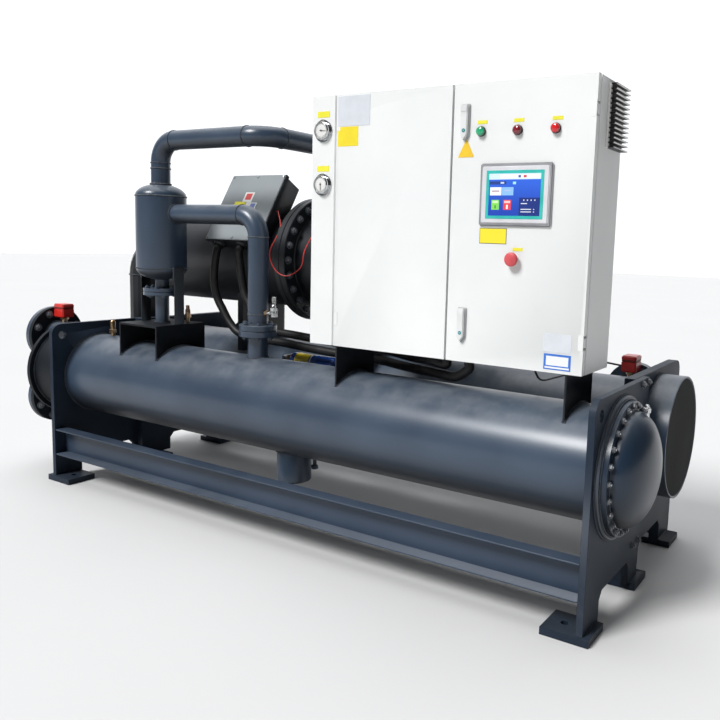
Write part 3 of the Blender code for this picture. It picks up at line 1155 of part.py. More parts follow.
sensor_route = held_route(wire_start, Vector((1, 0, 0)), sensor_places, sensor_end, sensor_way,
                          WIRE_LEAD, 6 * SENSOR_WIRE_RADIUS)
tube("sensor_wire", sensor_route, SENSOR_WIRE_RADIUS, RED, 2)

# Switch wire from the right flow switch over the evaporator to the cabinet's floor
switch_start = Vector((-SIDE_NOZZLE_INSET - SWITCH_WIDTH / 2 - GAP, right_switch_y,
                       side_nozzle_height + SIDE_NOZZLE_RADIUS + SWITCH_STEM_HEIGHT + SWITCH_HEIGHT * 0.3))
wire_height = VESSEL_AXIS_HEIGHT + EVAPORATOR_RADIUS + SWITCH_WIRE_CLEAR
wire_entry = Vector((CABINET_RIGHT - SWITCH_WIRE_INSET, CABINET_BACK - SWITCH_WIRE_BACK, CABINET_BOTTOM - GAP))
switch_places = [
    Vector((switch_start.x - SWITCH_LENGTH, switch_start.y - SWITCH_LENGTH, wire_height + SWITCH_WIRE_CLEAR)),
    Vector((wire_entry.x + SWITCH_WIRE_CLEAR, EVAPORATOR_AXIS_Y, wire_height)),
    Vector((wire_entry.x, (EVAPORATOR_AXIS_Y + CONDENSER_AXIS_Y) / 2, wire_height)),
    Vector((wire_entry.x, CABINET_BACK + SWITCH_WIRE_CLEAR, wire_height + SWITCH_WIRE_CLEAR)),
]
switch_route = held_route(switch_start, Vector((-1, 0, 0)), switch_places, wire_entry, Vector((0, 0, -1)),
                          WIRE_LEAD, 6 * SWITCH_WIRE_RADIUS)
tube("switch_wire", switch_route, SWITCH_WIRE_RADIUS, BLACK, 2)
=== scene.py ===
"""Looks of a water cooled screw chiller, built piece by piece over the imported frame."""
import math

import bmesh
import bpy
from mathutils import Matrix, Vector


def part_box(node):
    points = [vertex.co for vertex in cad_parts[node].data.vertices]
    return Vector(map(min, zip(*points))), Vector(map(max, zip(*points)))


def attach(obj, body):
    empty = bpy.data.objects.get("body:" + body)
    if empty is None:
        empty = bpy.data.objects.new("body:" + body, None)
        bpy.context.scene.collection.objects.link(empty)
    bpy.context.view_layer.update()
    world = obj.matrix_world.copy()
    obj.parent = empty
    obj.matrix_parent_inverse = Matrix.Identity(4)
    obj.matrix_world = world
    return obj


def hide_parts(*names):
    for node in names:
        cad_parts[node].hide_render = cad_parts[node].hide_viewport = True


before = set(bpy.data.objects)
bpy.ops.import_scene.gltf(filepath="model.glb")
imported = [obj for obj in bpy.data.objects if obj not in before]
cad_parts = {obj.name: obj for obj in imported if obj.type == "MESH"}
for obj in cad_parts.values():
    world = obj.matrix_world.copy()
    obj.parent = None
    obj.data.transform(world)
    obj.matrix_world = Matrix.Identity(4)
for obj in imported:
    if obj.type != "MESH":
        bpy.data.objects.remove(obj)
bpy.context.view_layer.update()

# Camera: it stands off the machine's right front corner, at about the height of the cabinet's middle.
# The lens is moved sideways in its mount by a ninth of the picture, as the photograph's framing asks.
def linked(name, data):
    # A new object in the scene's own collection
    made = bpy.data.objects.new(name, data)
    bpy.context.scene.collection.objects.link(made)
    return made


PICTURE = 720
LENS_CENTRE = (440, 340)
FOCAL_PIXELS = 758.6
CAMERA_PLACE = Vector((1.9079, -2.3142, 1.0477))
yaw, pitch, roll = (math.radians(turn) for turn in (30.83, 7.30, 1.98))
forward = Vector((-math.sin(yaw) * math.cos(pitch), math.cos(yaw) * math.cos(pitch), -math.sin(pitch)))
level_right = Vector((math.cos(yaw), math.sin(yaw), 0.0))
level_up = level_right.cross(forward)
right = level_right * math.cos(roll) + level_up * math.sin(roll)
up = level_up * math.cos(roll) - level_right * math.sin(roll)
camera_data = bpy.data.cameras.new("camera")
camera_data.sensor_width = 36.0
camera_data.lens = FOCAL_PIXELS / PICTURE * camera_data.sensor_width
camera_data.shift_x = (PICTURE / 2 - LENS_CENTRE[0]) / PICTURE
camera_data.shift_y = (LENS_CENTRE[1] - PICTURE / 2) / PICTURE
camera = linked("camera", camera_data)
camera.matrix_world = Matrix.Translation(CAMERA_PLACE) @ Matrix((right, up, -forward)).transposed().to_4x4()
bpy.context.scene.camera = camera


# End frames and beams: thick flame-cut plates and folded channels of mild steel, bolted and welded up.
# They are sprayed with dark blue-grey machine paint, which has small lumps, dust on what faces up
# and painted shade on the undersides. Four bolts at each end join the lapped plates.
def math_step(operation, swapped=False):
    # A method that adds one Math node
    def method(self, other=0.0):
        first, second = (other, self) if swapped else (self, other)
        return self.graph.node("ShaderNodeMath", {"operation": operation}, {0: first, 1: second})
    return method


class Wire:
    # One output of a node, so that sums on it add Math nodes
    def __init__(self, graph, socket):
        self.graph = graph
        self.socket = socket

    __add__ = math_step("ADD")
    __radd__ = math_step("ADD", True)
    __sub__ = math_step("SUBTRACT")
    __rsub__ = math_step("SUBTRACT", True)
    __mul__ = math_step("MULTIPLY")
    __truediv__ = math_step("DIVIDE")
    above = math_step("GREATER_THAN")
    below = math_step("LESS_THAN")
    larger = math_step("MAXIMUM")
    sine = math_step("SINE")
    size = math_step("ABSOLUTE")

    def eased(self, low, high):
        # Goes smoothly from 0 at low to 1 at high
        return self.graph.node("ShaderNodeMapRange", {"interpolation_type": "SMOOTHSTEP"}, {
            0: self, 1: low, 2: high, 3: 0.0, 4: 1.0})


class Graph:
    # A node tree, where one call adds a node with its settings, then its values or links
    def __init__(self, tree):
        self.tree = tree

    def node(self, kind, settings=None, values=None, out=0):
        made = self.tree.nodes.new(kind)
        for key, value in (settings or {}).items():
            setattr(made, key, value)
        for key, value in (values or {}).items():
            for one in value if isinstance(value, list) else [value]:
                if isinstance(one, Wire):
                    self.tree.links.new(one.socket, made.inputs[key])
                else:
                    made.inputs[key].default_value = one
        return Wire(self, made.outputs[out])


class Finish(Graph):
    # One material: a Principled surface whose sockets are set by name
    def __init__(self, name):
        self.material = bpy.data.materials.new(name)
        self.material.use_nodes = True
        super().__init__(self.material.node_tree)
        self.surface = self.tree.nodes["Principled BSDF"]
        self.place = self.node("ShaderNodeTexCoord", out="Object")

    def noise(self, scale, detail=3.0, roughness=0.55, stretch=None):
        place = self.place
        if stretch:
            place = self.node("ShaderNodeMapping", None, {"Vector": place, "Scale": stretch})
        return self.node("ShaderNodeTexNoise", None,
                         {"Vector": place, "Scale": scale, "Detail": detail, "Roughness": roughness})

    def along(self, axis):
        return self.node("ShaderNodeSeparateXYZ", None, {0: self.place}, out=axis)

    def facing(self, axis):
        # How much the surface points along one world axis
        normal = self.node("ShaderNodeNewGeometry", out="Normal")
        return self.node("ShaderNodeSeparateXYZ", None, {0: normal}, out=axis)

    def blend(self, factor, first, second):
        first, second = (one if isinstance(one, Wire) else (*one, 1.0) for one in (first, second))
        return self.node("ShaderNodeMix", {"data_type": "RGBA"}, {0: factor, 6: first, 7: second}, out=2)

    def bump(self, height, depth, strength=1.0, below=None):
        values = {"Height": height, "Distance": depth, "Strength": strength}
        if below is not None:
            values["Normal"] = below
        return self.node("ShaderNodeBump", None, values)

    def set(self, **values):
        for key, value in values.items():
            socket = self.surface.inputs[key.replace("_", " ")]
            if isinstance(value, Wire):
                self.tree.links.new(value.socket, socket)
            elif isinstance(value, tuple):
                socket.default_value = (*value, 1.0)
            else:
                socket.default_value = value
        return self.material


SCUFF_GREY = (0.12, 0.13, 0.14)
# Pale bluish grey of dust, which also serves as a painted highlight on tops
DUST_AND_HIGHLIGHT_GREY = (0.24, 0.26, 0.28)
UNDERSIDE_SHADE_BLACK = (0.004, 0.005, 0.006)


def machine_paint(name, deep, pale, roughness, dust_and_top_light, sheen=0.12, shine_level=0.5):
    # Sprayed paint: two shades in patches, then scuffs, dust that when laid on thick is also a painted
    # highlight on tops, and painted shade on the underside
    finish = Finish(name)
    patches = finish.noise(1.7, 4.0, 0.6)
    spray = finish.noise(240.0, 2.0)
    runs = finish.noise(5.0, 3.0, 0.5, (1.0, 1.0, 0.25))
    scuffs = finish.noise(38.0, 6.0, 0.75).eased(0.62, 0.74)
    # Dust on what faces up; where the amount is large, as on the vessels, it is a painted highlight on their
    # tops
    dust_and_top_highlight = finish.facing("Z").eased(0.35, 0.95) * finish.noise(14.0, 4.0, 0.55).eased(0.15, 0.85)
    colour = finish.blend(patches.eased(0.32, 0.68), deep, pale)
    colour = finish.blend(scuffs * 0.18, colour, SCUFF_GREY)
    colour = finish.blend(dust_and_top_highlight * dust_and_top_light, colour, DUST_AND_HIGHLIGHT_GREY)
    # Painted shade: surfaces that face down are darkened towards near-black
    painted_underside_shade = finish.facing("Z").eased(-0.05, -0.75)
    colour = finish.blend(painted_underside_shade * 0.80, colour, UNDERSIDE_SHADE_BLACK)
    shine = roughness + (patches - 0.5) * 0.16 + (runs - 0.5) * 0.12
    shine = shine + dust_and_top_highlight * 0.10 + scuffs * 0.10 + painted_underside_shade * 0.2
    skin = finish.bump(spray, 0.0004, 0.35, finish.bump(runs, 0.002, 0.2))
    return finish.set(Base_Color=colour, Roughness=shine, Normal=skin, Coat_Weight=sheen,
                      Coat_Roughness=0.22, Specular_IOR_Level=shine_level)


# Two copies of one frame paint: a darker one that paints shade on the plates' dim faces, and a lighter one
# that paints light into the beams' webs under their top flanges
slate_paint = machine_paint(
    "slate_machine_paint", (0.011, 0.018, 0.030), (0.020, 0.031, 0.050), 0.45, 0.08, 0.0, 0.16)
beam_lit_paint = machine_paint(
    "beam_machine_paint", (0.024, 0.039, 0.066), (0.038, 0.058, 0.094), 0.40, 0.08, 0.05, 0.40)


def dress(material, *nodes):
    # Gives CAD nodes a finish
    for name in nodes:
        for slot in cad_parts[name].material_slots:
            slot.material = material


def as_mesh(shape, name, finish):
    # The worked shape as a mesh with one finish
    mesh = bpy.data.meshes.new(name)
    shape.to_mesh(mesh)
    shape.free()
    mesh.materials.append(finish)
    return mesh


def taken_from(carrier):
    # What a curve or a modifier makes, as a plain mesh; the object that carried it is removed
    bpy.context.view_layer.update()
    mesh = bpy.data.meshes.new_from_object(carrier.evaluated_get(bpy.context.evaluated_depsgraph_get()))
    bpy.data.objects.remove(carrier, do_unlink=True)
    return mesh


def closed_up(mesh, sharp=35):
    # Turns the normals outward and keeps crisp edges crisp
    shape = bmesh.new()
    shape.from_mesh(mesh)
    bmesh.ops.recalc_face_normals(shape, faces=shape.faces)
    shape.to_mesh(mesh)
    shape.free()
    mesh.shade_smooth()
    mesh.set_sharp_from_angle(angle=math.radians(sharp))
    return mesh


def softened_node(node, finish, edge=0.0015):
    # A CAD node's own shape, merged, with its crisp edges rounded a little
    shape = bmesh.new()
    shape.from_mesh(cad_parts[node].data)
    bmesh.ops.remove_doubles(shape, verts=shape.verts, dist=0.00002)
    bmesh.ops.dissolve_limit(shape, angle_limit=math.radians(1), verts=shape.verts, edges=shape.edges)
    crisp = [one for one in shape.edges if one.is_manifold and one.calc_face_angle() > math.radians(40)]
    bmesh.ops.bevel(shape, geom=crisp, offset=edge, segments=2, affect="EDGES", clamp_overlap=True)
    return closed_up(as_mesh(shape, node + "_softened", finish), 20)


class Pattern(Graph):
    # A Geometry Nodes tree for what repeats; its sizes are named inputs
    def __init__(self, name, **sizes):
        super().__init__(bpy.data.node_groups.new(name, "GeometryNodeTree"))
        add_socket = self.tree.interface.new_socket
        add_socket("Geometry", in_out="OUTPUT", socket_type="NodeSocketGeometry")
        add_socket("Geometry", in_out="INPUT", socket_type="NodeSocketGeometry")
        self.keys = {}
        for key, value in sizes.items():
            kind = "NodeSocketInt" if isinstance(value, int) else "NodeSocketFloat"
            socket = add_socket(key, in_out="INPUT", socket_type=kind)
            socket.default_value = value
            self.keys[key] = socket.identifier
        socket = add_socket("finish", in_out="INPUT", socket_type="NodeSocketMaterial")
        self.keys["finish"] = socket.identifier
        self.entry = self.tree.nodes.new("NodeGroupInput")

    def given(self, key):
        return Wire(self, self.entry.outputs[key])

    def done(self, geometry):
        geometry = self.node("GeometryNodeRealizeInstances", None, {0: geometry})
        geometry = self.node(
            "GeometryNodeSetMaterial", None, {"Geometry": geometry, "Material": self.given("finish")})
        self.tree.links.new(geometry.socket, self.tree.nodes.new("NodeGroupOutput").inputs[0])

    def grow(self, name, finish, guide=None, place=None, **sizes):
        # The pattern worked out on a guide mesh and kept as a plain mesh, then put in its place
        carrier = linked(name, guide or bpy.data.meshes.new(name + "_guide"))
        step = carrier.modifiers.new("pattern", "NODES")
        step.node_group = self.tree
        step[self.keys["finish"]] = finish
        for key, value in sizes.items():
            step[self.keys[key]] = value
        mesh = taken_from(carrier)
        if place:
            mesh.transform(place)
        return mesh


def together(name, meshes, slot, *nodes, body="chiller"):
    # Joins finished meshes into one piece that rides on a body and stands for CAD nodes
    mesh = bpy.data.meshes.new(name)
    whole = bmesh.new()
    finishes = []
    for part in meshes:
        first = len(whole.faces)
        whole.from_mesh(part)
        whole.faces.ensure_lookup_table()
        for face in whole.faces[first:]:
            finish = part.materials[face.material_index]
            if finish not in finishes:
                finishes.append(finish)
            face.material_index = finishes.index(finish)
    whole.to_mesh(mesh)
    whole.free()
    for finish in finishes:
        mesh.materials.append(finish)
    piece = linked(name, mesh)
    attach(piece, body)
    if nodes:
        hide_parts(*nodes)


def painted(name, meshes, *nodes):
    # A piece of the machine itself, in the painted steel
    together(name, meshes, "slate_paint", *nodes)


# A hexagon bolt standing on a ring: washer, six-sided head, its round chamfer and the stud's end
bolts = Pattern("bolt_ring", count=8, ring=0.1, bolt=0.010, turn=0.0)
bolt_size = bolts.given("bolt")


def bolt_part(vertices, width, low, height, narrow=1.0):
    # A disc or a blunt cone of the bolt, with its sizes as parts of the bolt's radius
    sizes = {"Vertices": vertices, "Depth": bolt_size * height}
    if narrow < 1.0:
        kind = "GeometryNodeMeshCone"
        sizes.update({"Radius Bottom": bolt_size * width, "Radius Top": bolt_size * (width * narrow)})
    else:
        kind = "GeometryNodeMeshCylinder"
        sizes["Radius"] = bolt_size * width
        low += height / 2
    rise = bolts.node("ShaderNodeCombineXYZ", None, {"Z": bolt_size * low})
    return bolts.node("GeometryNodeTransform", None, {
        "Geometry": bolts.node(kind, None, sizes), "Translation": rise})


one_bolt = bolts.node("GeometryNodeJoinGeometry", None, {"Geometry": [
    bolt_part(16, 1.28, -0.02, 0.20), bolt_part(6, 1.0, 0.16, 0.62),
    bolt_part(12, 0.92, 0.77, 0.10, 0.82), bolt_part(10, 0.50, 0.70, 0.50)]})
spin = bolts.node("FunctionNodeRandomValue", {"data_type": "FLOAT"}, {2: 0.0, 3: 1.05, "Seed": 4}, out=1)
upright = bolts.node("ShaderNodeCombineXYZ", None, {"Z": spin})
ring_turn = bolts.node("ShaderNodeCombineXYZ", None, {"Z": bolts.given("turn")})
bolt_circle = bolts.node("GeometryNodeMeshCircle", None, {
    "Vertices": bolts.given("count"), "Radius": bolts.given("ring")})
bolt_circle = bolts.node("GeometryNodeTransform", None, {"Geometry": bolt_circle, "Rotation": ring_turn})
bolt_places = bolts.node("GeometryNodeJoinGeometry", None, {
    "Geometry": [bolt_circle, bolts.given("Geometry")]})
bolts.done(bolts.node("GeometryNodeInstanceOnPoints", None, {
    "Points": bolt_places, "Instance": one_bolt, "Rotation": upright}))


def facing_way(way, centre):
    # The place of a ring that lies at centre and faces along way
    turned = Vector((0, 0, 1)).rotation_difference(Vector(way))
    return Matrix.Translation(centre) @ turned.to_matrix().to_4x4()


def bolt_ring(centre, way, count, ring, bolt, finish, turn=0.0):
    # A ring of bolts that stand on centre's plane and point along way
    place = facing_way(way, centre)
    return bolts.grow("bolts", finish, place=place, count=count, ring=ring, bolt=bolt, turn=turn)


def lone_bolt(centre, way, bolt, finish):
    # A circle of one is empty, so the guide's only point carries the bolt
    guide = bpy.data.meshes.new("bolt_place")
    guide.from_pydata([(0.0, 0.0, 0.0)], [], [])
    place = facing_way(way, centre)
    return bolts.grow("bolt", finish, guide=guide, place=place, count=1, ring=0.0, bolt=bolt)


# A weld bead: overlapping ripples of metal along a line
beads = Pattern("weld_bead", pitch=0.0035, bead=0.004)
bead_line = beads.node("GeometryNodeMeshToCurve", None, {0: beads.given("Geometry")})
bead_points = beads.node("GeometryNodeCurveToPoints", {"mode": "LENGTH"}, {
    "Curve": bead_line, "Length": beads.given("pitch")})
bead_way = Wire(beads, bead_points.socket.node.outputs["Tangent"])
ripple = beads.node("GeometryNodeMeshUVSphere", None, {
    "Segments": 8, "Rings": 4, "Radius": beads.given("bead")})
ripple = beads.node("GeometryNodeTransform", None, {"Geometry": ripple, "Scale": (1.0, 1.0, 0.75)})
bead_turn = beads.node("FunctionNodeAlignRotationToVector", {"axis": "Z"}, {"Vector": bead_way})
bead_scale = beads.node(
    "FunctionNodeRandomValue", {"data_type": "FLOAT"}, {2: 0.86, 3: 1.12, "Seed": 9}, out=1)
beads.done(beads.node("GeometryNodeInstanceOnPoints", None, {
    "Points": bead_points, "Instance": ripple, "Rotation": bead_turn, "Scale": bead_scale}))


# Bolts get a paler copy of the paint, which paints the small glints on their heads
bolt_glint_paint = machine_paint("worn_bolt_paint", (0.060, 0.068, 0.080), (0.150, 0.160, 0.175), 0.34, 0.0)
weld_paint = machine_paint("weld_paint", (0.020, 0.029, 0.042), (0.038, 0.049, 0.068), 0.40, 0.06)


def weld(points, bead=0.0036, finish=weld_paint, closed=False):
    # A bead through the given points
    guide = bpy.data.meshes.new("weld_line")
    edges = [(index, index + 1) for index in range(len(points) - 1)]
    if closed:
        edges.append((len(points) - 1, 0))
    guide.from_pydata([Vector(point) for point in points], edges, [])
    mesh = beads.grow("weld", finish, guide=guide, bead=bead, pitch=bead * 0.95)
    mesh.shade_smooth()
    return mesh


def seam(vessel, axis, place, radius, bead=0.0036, finish=weld_paint, steps=72):
    # A bead right round a vessel or pipe that lies along an axis (0, 1 or 2), at one place on it
    points = []
    for index in range(steps):
        turn = math.tau * index / steps
        point = Vector(vessel)
        point[axis] = place
        point[(axis + 1) % 3] += radius * math.cos(turn)
        point[(axis + 2) % 3] += radius * math.sin(turn)
        points.append(point)
    return weld(points, bead, finish, closed=True)


PLATE_THICKNESS = 0.020
FRONT_PLATE_PAST_SHELL = 0.0925
LAP_BOLT_HEIGHTS = (0.646, 0.140)
LAP_BOLT_ACROSS = 0.028
LAP_BOLT = 0.0095
frame_work = []
for side, outward in (("left", -1), ("right", 1)):
    front_low, front_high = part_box("front_frame_" + side)
    plate_out = (front_high.x if outward > 0 else front_low.x) - outward * PLATE_THICKNESS
    front_plate_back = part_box("condenser_shell")[1].y + FRONT_PLATE_PAST_SHELL
    lap_middle = (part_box("rear_frame_" + side)[0].y + front_plate_back) / 2
    for across in (-LAP_BOLT_ACROSS, LAP_BOLT_ACROSS):
        for height in LAP_BOLT_HEIGHTS:
            spot = (plate_out, lap_middle + across, height)
            # Their pale paint paints the glints on the bolt heads
            frame_work.append(lone_bolt(spot, (outward, 0, 0), LAP_BOLT, bolt_glint_paint))
painted("frame_bolts", frame_work)
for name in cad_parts:
    if "frame_" in name or name.endswith("_beam"):
        # Beams get the lighter copy as painted light, the plates the darker copy as painted shade
        coat = beam_lit_paint if name.endswith("_beam") else slate_paint
        painted(name + "_softened", [softened_node(name, coat, 0.0016)], name)


# Condenser shell: a long rolled steel tube welded between the end plates, painted with the frame.
# A short upright sump is welded under its middle, with a small bent tap and its hexagon nut.
def softened(outline, edge):
    # The same outline with a small chamfer at each corner
    outline = [Vector(point) for point in outline]
    made = [outline[0]]
    for before, corner, after in zip(outline[:-2], outline[1:-1], outline[2:]):
        back = before - corner
        onward = after - corner
        cut = min(edge, back.length * 0.4, onward.length * 0.4)
        if back.angle(onward) > math.radians(150):
            made.append(corner)
        else:
            made += [corner + back.normalized() * cut, corner + onward.normalized() * cut]
    return made + [outline[-1]]


def lathe(outline, way, centre, finish, sides=96, edge=0.0012):
    # A turned piece; its outline is pairs of a place along the axis and a radius, closed with flat ends
    outline = [(outline[0][0], 0.0), *outline]
    if outline[-1][1] > 0.0:
        outline.append((outline[-1][0], 0.0))
    vertices = []
    rows = []
    for along, radius in softened(outline, edge):
        around = sides if radius > 1e-6 else 1
        rows.append([len(vertices) + step for step in range(around)])
        for step in range(around):
            turn = math.tau * step / sides
            vertices.append((radius * math.cos(turn), radius * math.sin(turn), along))
    faces = []
    for low, high in zip(rows[:-1], rows[1:]):
        for step in range(sides):
            after = (step + 1) % sides
            around = ((low, step), (low, after), (high, after), (high, step))
            corners = [row[place % len(row)] for row, place in around]
            faces.append(list(dict.fromkeys(corners)))
    mesh = bpy.data.meshes.new("turned")
    mesh.from_pydata(vertices, [], faces)
    mesh.materials.append(finish)
    mesh.transform(facing_way(way, centre))
    return closed_up(mesh)


def disc(low, high, radius, way, centre, finish, sides=96, edge=0.0012):
    # A plain turned disc, rod or nut
    return lathe([(low, radius), (high, radius)], way, centre, finish, sides, edge)


def discs(way, centre, finish, *rows):
    # Discs on one axis; a row is the two ends, the radius, the number of sides and the softened edge
    return [disc(*row[:3], way, centre, finish, *row[3:]) for row in rows]


def rounded_route(corners, bend, steps=18):
    # Straight runs joined by round quarter bends
    corners = [Vector(corner) for corner in corners]
    route = [corners[0]]
    for before, corner, after in zip(corners[:-2], corners[1:-1], corners[2:]):
        inward = (before - corner).normalized() * bend
        outward = (after - corner).normalized() * bend
        middle = corner + inward + outward
        for step in range(steps + 1):
            turn = math.pi / 2 * step / steps
            route.append(middle - outward * math.cos(turn) - inward * math.sin(turn))
    return route + [corners[-1]]


def run(route, radius, finish, fineness=10):
    # A round bar or pipe along a route, with closed ends
    curve = bpy.data.curves.new("run", "CURVE")
    curve.dimensions = "3D"
    curve.bevel_depth = radius
    curve.bevel_resolution = fineness
    curve.use_fill_caps = True
    line = curve.splines.new("POLY")
    line.points.add(len(route) - 1)
    for point, place in zip(line.points, route):
        point.co = (*place, 1.0)
    shape = bmesh.new()
    shape.from_mesh(taken_from(linked("run", curve)))
    bmesh.ops.remove_doubles(shape, verts=shape.verts, dist=0.00001)
    return closed_up(as_mesh(shape, "run", finish))


X, Y, Z = Vector((1, 0, 0)), Vector((0, 1, 0)), Vector((0, 0, 1))
CONDENSER = Vector((0.0, -0.258, 0.436))
CONDENSER_RADIUS = 0.1675
PLATES_INSIDE = (-1.047, 1.263)
TOUCHING = 0.0003
WIDE_SIDES = 144
WIDE_BEAD = 0.0042


def saddle_points(middle, radius, rise, count=64):
    # Where an upright tube meets the condenser, above (rise 1) or below (rise -1) its axis
    points = []
    for step in range(count):
        turn = math.tau * step / count
        across = middle.y + radius * math.sin(turn) - CONDENSER.y
        height = CONDENSER.z + rise * math.sqrt(CONDENSER_RADIUS ** 2 - across ** 2)
        points.append((middle.x + radius * math.cos(turn), CONDENSER.y + across, height))
    return points


# The vessels' paint lays the dust on thick, which paints a pale highlight along the tops of shells and pipes
pipe_paint = machine_paint(
    "vessel_machine_paint", (0.026, 0.043, 0.072), (0.043, 0.067, 0.105), 0.33, 0.46, 0.18, 0.50)
painted("condenser_shell_smooth", [
    disc(PLATES_INSIDE[0] + TOUCHING, PLATES_INSIDE[1] - TOUCHING, CONDENSER_RADIUS,
         X, CONDENSER, pipe_paint, WIDE_SIDES),
    seam(CONDENSER, 0, PLATES_INSIDE[0] + 0.002, CONDENSER_RADIUS + 0.001, WIDE_BEAD),
    seam(CONDENSER, 0, PLATES_INSIDE[1] - 0.002, CONDENSER_RADIUS + 0.001, WIDE_BEAD),
], "condenser_shell")

SUMP = Vector((0.076, -0.258, 0.0))
SUMP_RADIUS = 0.0625
TAP_HEIGHT = 0.268
TAP_REACH = 0.0965
tap_corners = [SUMP + Vector((reach, 0, height)) for reach, height in (
    (0.0, TAP_HEIGHT), (TAP_REACH, TAP_HEIGHT), (TAP_REACH, TAP_HEIGHT - 0.032))]
sump_outline = [(0.165, 0.052), (0.167, 0.058), (0.172, SUMP_RADIUS), (0.310, SUMP_RADIUS)]
painted("sump_with_tap", [
    lathe(sump_outline, Z, SUMP, pipe_paint, 72),
    weld(saddle_points(SUMP, SUMP_RADIUS + 0.001, -1), 0.0038, closed=True),
    run(rounded_route(tap_corners, 0.017), 0.007, pipe_paint, 6),
    disc(0.0, 0.014, 0.0125, -Z, SUMP + Vector((TAP_REACH, 0, 0.238)), pipe_paint, 6),
    disc(0.0, 0.010, 0.0115, X, SUMP + Vector((0.061, 0, TAP_HEIGHT)), pipe_paint, 6),
], "condenser_sump")


# Condenser's right end cover: a ring welded to the plate, a bolted ring and a pressed dished end.
# Its paint is a darker copy that paints shade on it; twenty-four hexagon bolts in a pale paint that paints
# their glints hold it, and a bright vent plug stands on top.
def plain_metal(name, dark, light, roughness, grain=60.0):
    finish = Finish(name)
    wear = finish.noise(grain, 4.0, 0.65)
    return finish.set(
        Base_Color=finish.blend(wear.eased(0.3, 0.7), dark, light), Metallic=1.0,
        Roughness=roughness + (wear - 0.5) * 0.3, Normal=finish.bump(finish.noise(700.0), 0.0002, 0.2))


def dished(start, depth, radius, steps, first, last):
    # Points of a pressed end's quarter ellipse, from its rim at step 0 to its pole at the last step
    turns = [math.pi / 2 * step / steps for step in range(first, last)]
    return [(start + depth * math.sin(turn), radius * math.cos(turn)) for turn in turns]


bright_steel = plain_metal("bright_steel", (0.46, 0.47, 0.48), (0.66, 0.67, 0.68), 0.24)
ring_paint = machine_paint("cover_ring_paint", (0.032, 0.044, 0.062), (0.052, 0.066, 0.088), 0.40, 0.08)
# A darker copy of the vessels' paint, standing for the shade on the dished end
cover_shaded_paint = machine_paint(
    "cover_machine_paint", (0.008, 0.016, 0.031), (0.015, 0.028, 0.049), 0.28, 0.12, 0.15, 0.36)
RING_START = 1.2833
COVER_START = RING_START + 0.012
COVER_FACE = COVER_START + 0.018
RING_RADIUS = 0.205
COVER_RADIUS = 0.192
COVER_BOLT_CIRCLE = 0.1785
DISH_RADIUS = 0.165
DISH_FOOT = 0.006
DISH_DEPTH = 0.076
cover_outline = [
    (COVER_START, COVER_RADIUS), (COVER_FACE, COVER_RADIUS), (COVER_FACE, DISH_RADIUS + 0.001),
    *dished(COVER_FACE + DISH_FOOT, DISH_DEPTH, DISH_RADIUS, 24, 0, 24),
    (COVER_FACE + DISH_FOOT + DISH_DEPTH, 0.0)]
painted("end_cover", [
    disc(RING_START, COVER_START, RING_RADIUS, X, CONDENSER, ring_paint, WIDE_SIDES, 0.003),
    lathe(cover_outline, X, CONDENSER, cover_shaded_paint, WIDE_SIDES),
    seam(CONDENSER, 0, COVER_START + 0.001, COVER_RADIUS + 0.0015),
    seam(CONDENSER, 0, RING_START + 0.001, RING_RADIUS + 0.0005),
], "condenser_cover")
# The bolts' pale paint paints their glints
cover_bolts = bolt_ring((COVER_FACE, *CONDENSER.yz), X, 24, COVER_BOLT_CIRCLE, 0.0085, bolt_glint_paint)
together("end_cover_bolts", [cover_bolts], "bright_steel")
together("vent_plug_turned", discs(
    Z, Vector((1.343, -0.224, 0.590)), bright_steel,
    (-0.02, 0.008, 0.0075, 32, 0.0005), (0.006, 0.020, 0.0115, 6, 0.001), (0.019, 0.029, 0.006, 32, 0.002),
), "bright_steel", "vent_plug")


# Condenser's left water box: a welded drum with two flanged water nozzles, each closed by a blind flange.
# Eight studs with a nut at both ends clamp each pair of flanges; the drum and the nozzle flanges have a
# near-black paint that paints their shade.
seam_paint = machine_paint("pale_seam_paint", (0.075, 0.085, 0.100), (0.110, 0.122, 0.138), 0.40, 0.05)
# Near-black paint that stands for the shade on the flanges, the water box drum and the separator's stand
flange_shade_paint = machine_paint(
    "dark_flange_paint", (0.005, 0.007, 0.010), (0.010, 0.013, 0.018), 0.50, 0.05, 0.0, 0.20)
DRUM_RADIUS = 0.180
DRUM_ENDS = (-1.267, -1.087)
DRUM_CAP_IN = -1.247
CAP_RADIUS = 0.201
FOOT_RADIUS = 0.205
DRUM_BOLTS = (20, 0.190, 0.0075, pipe_paint)
NOZZLE_RADIUS = 0.0615
FLANGE_RADIUS = 0.125
# These studs' pale paint paints their glints
FLANGE_BOLTS = (8, 0.100, 0.0135, bolt_glint_paint, math.pi / 8)
BLIND_OUT, BLIND_IN, FLANGE_IN = -1.3953, -1.3743, -1.353
water_box_outline = [
    (DRUM_ENDS[0], CAP_RADIUS), (DRUM_CAP_IN, CAP_RADIUS), (DRUM_CAP_IN, DRUM_RADIUS),
    (DRUM_ENDS[1], DRUM_RADIUS), (DRUM_ENDS[1], FOOT_RADIUS),
    (PLATES_INSIDE[0] - PLATE_THICKNESS - TOUCHING, FOOT_RADIUS)]
water_box_work = [
    lathe(water_box_outline, X, CONDENSER, flange_shade_paint, WIDE_SIDES),
    seam(CONDENSER, 0, DRUM_CAP_IN + 0.001, DRUM_RADIUS + 0.001),
    seam(CONDENSER, 0, DRUM_ENDS[1] - 0.001, DRUM_RADIUS + 0.001),
    bolt_ring((DRUM_ENDS[0], *CONDENSER.yz), -X, *DRUM_BOLTS),
    bolt_ring((DRUM_ENDS[1], *CONDENSER.yz), X, *DRUM_BOLTS)]
blinds = []
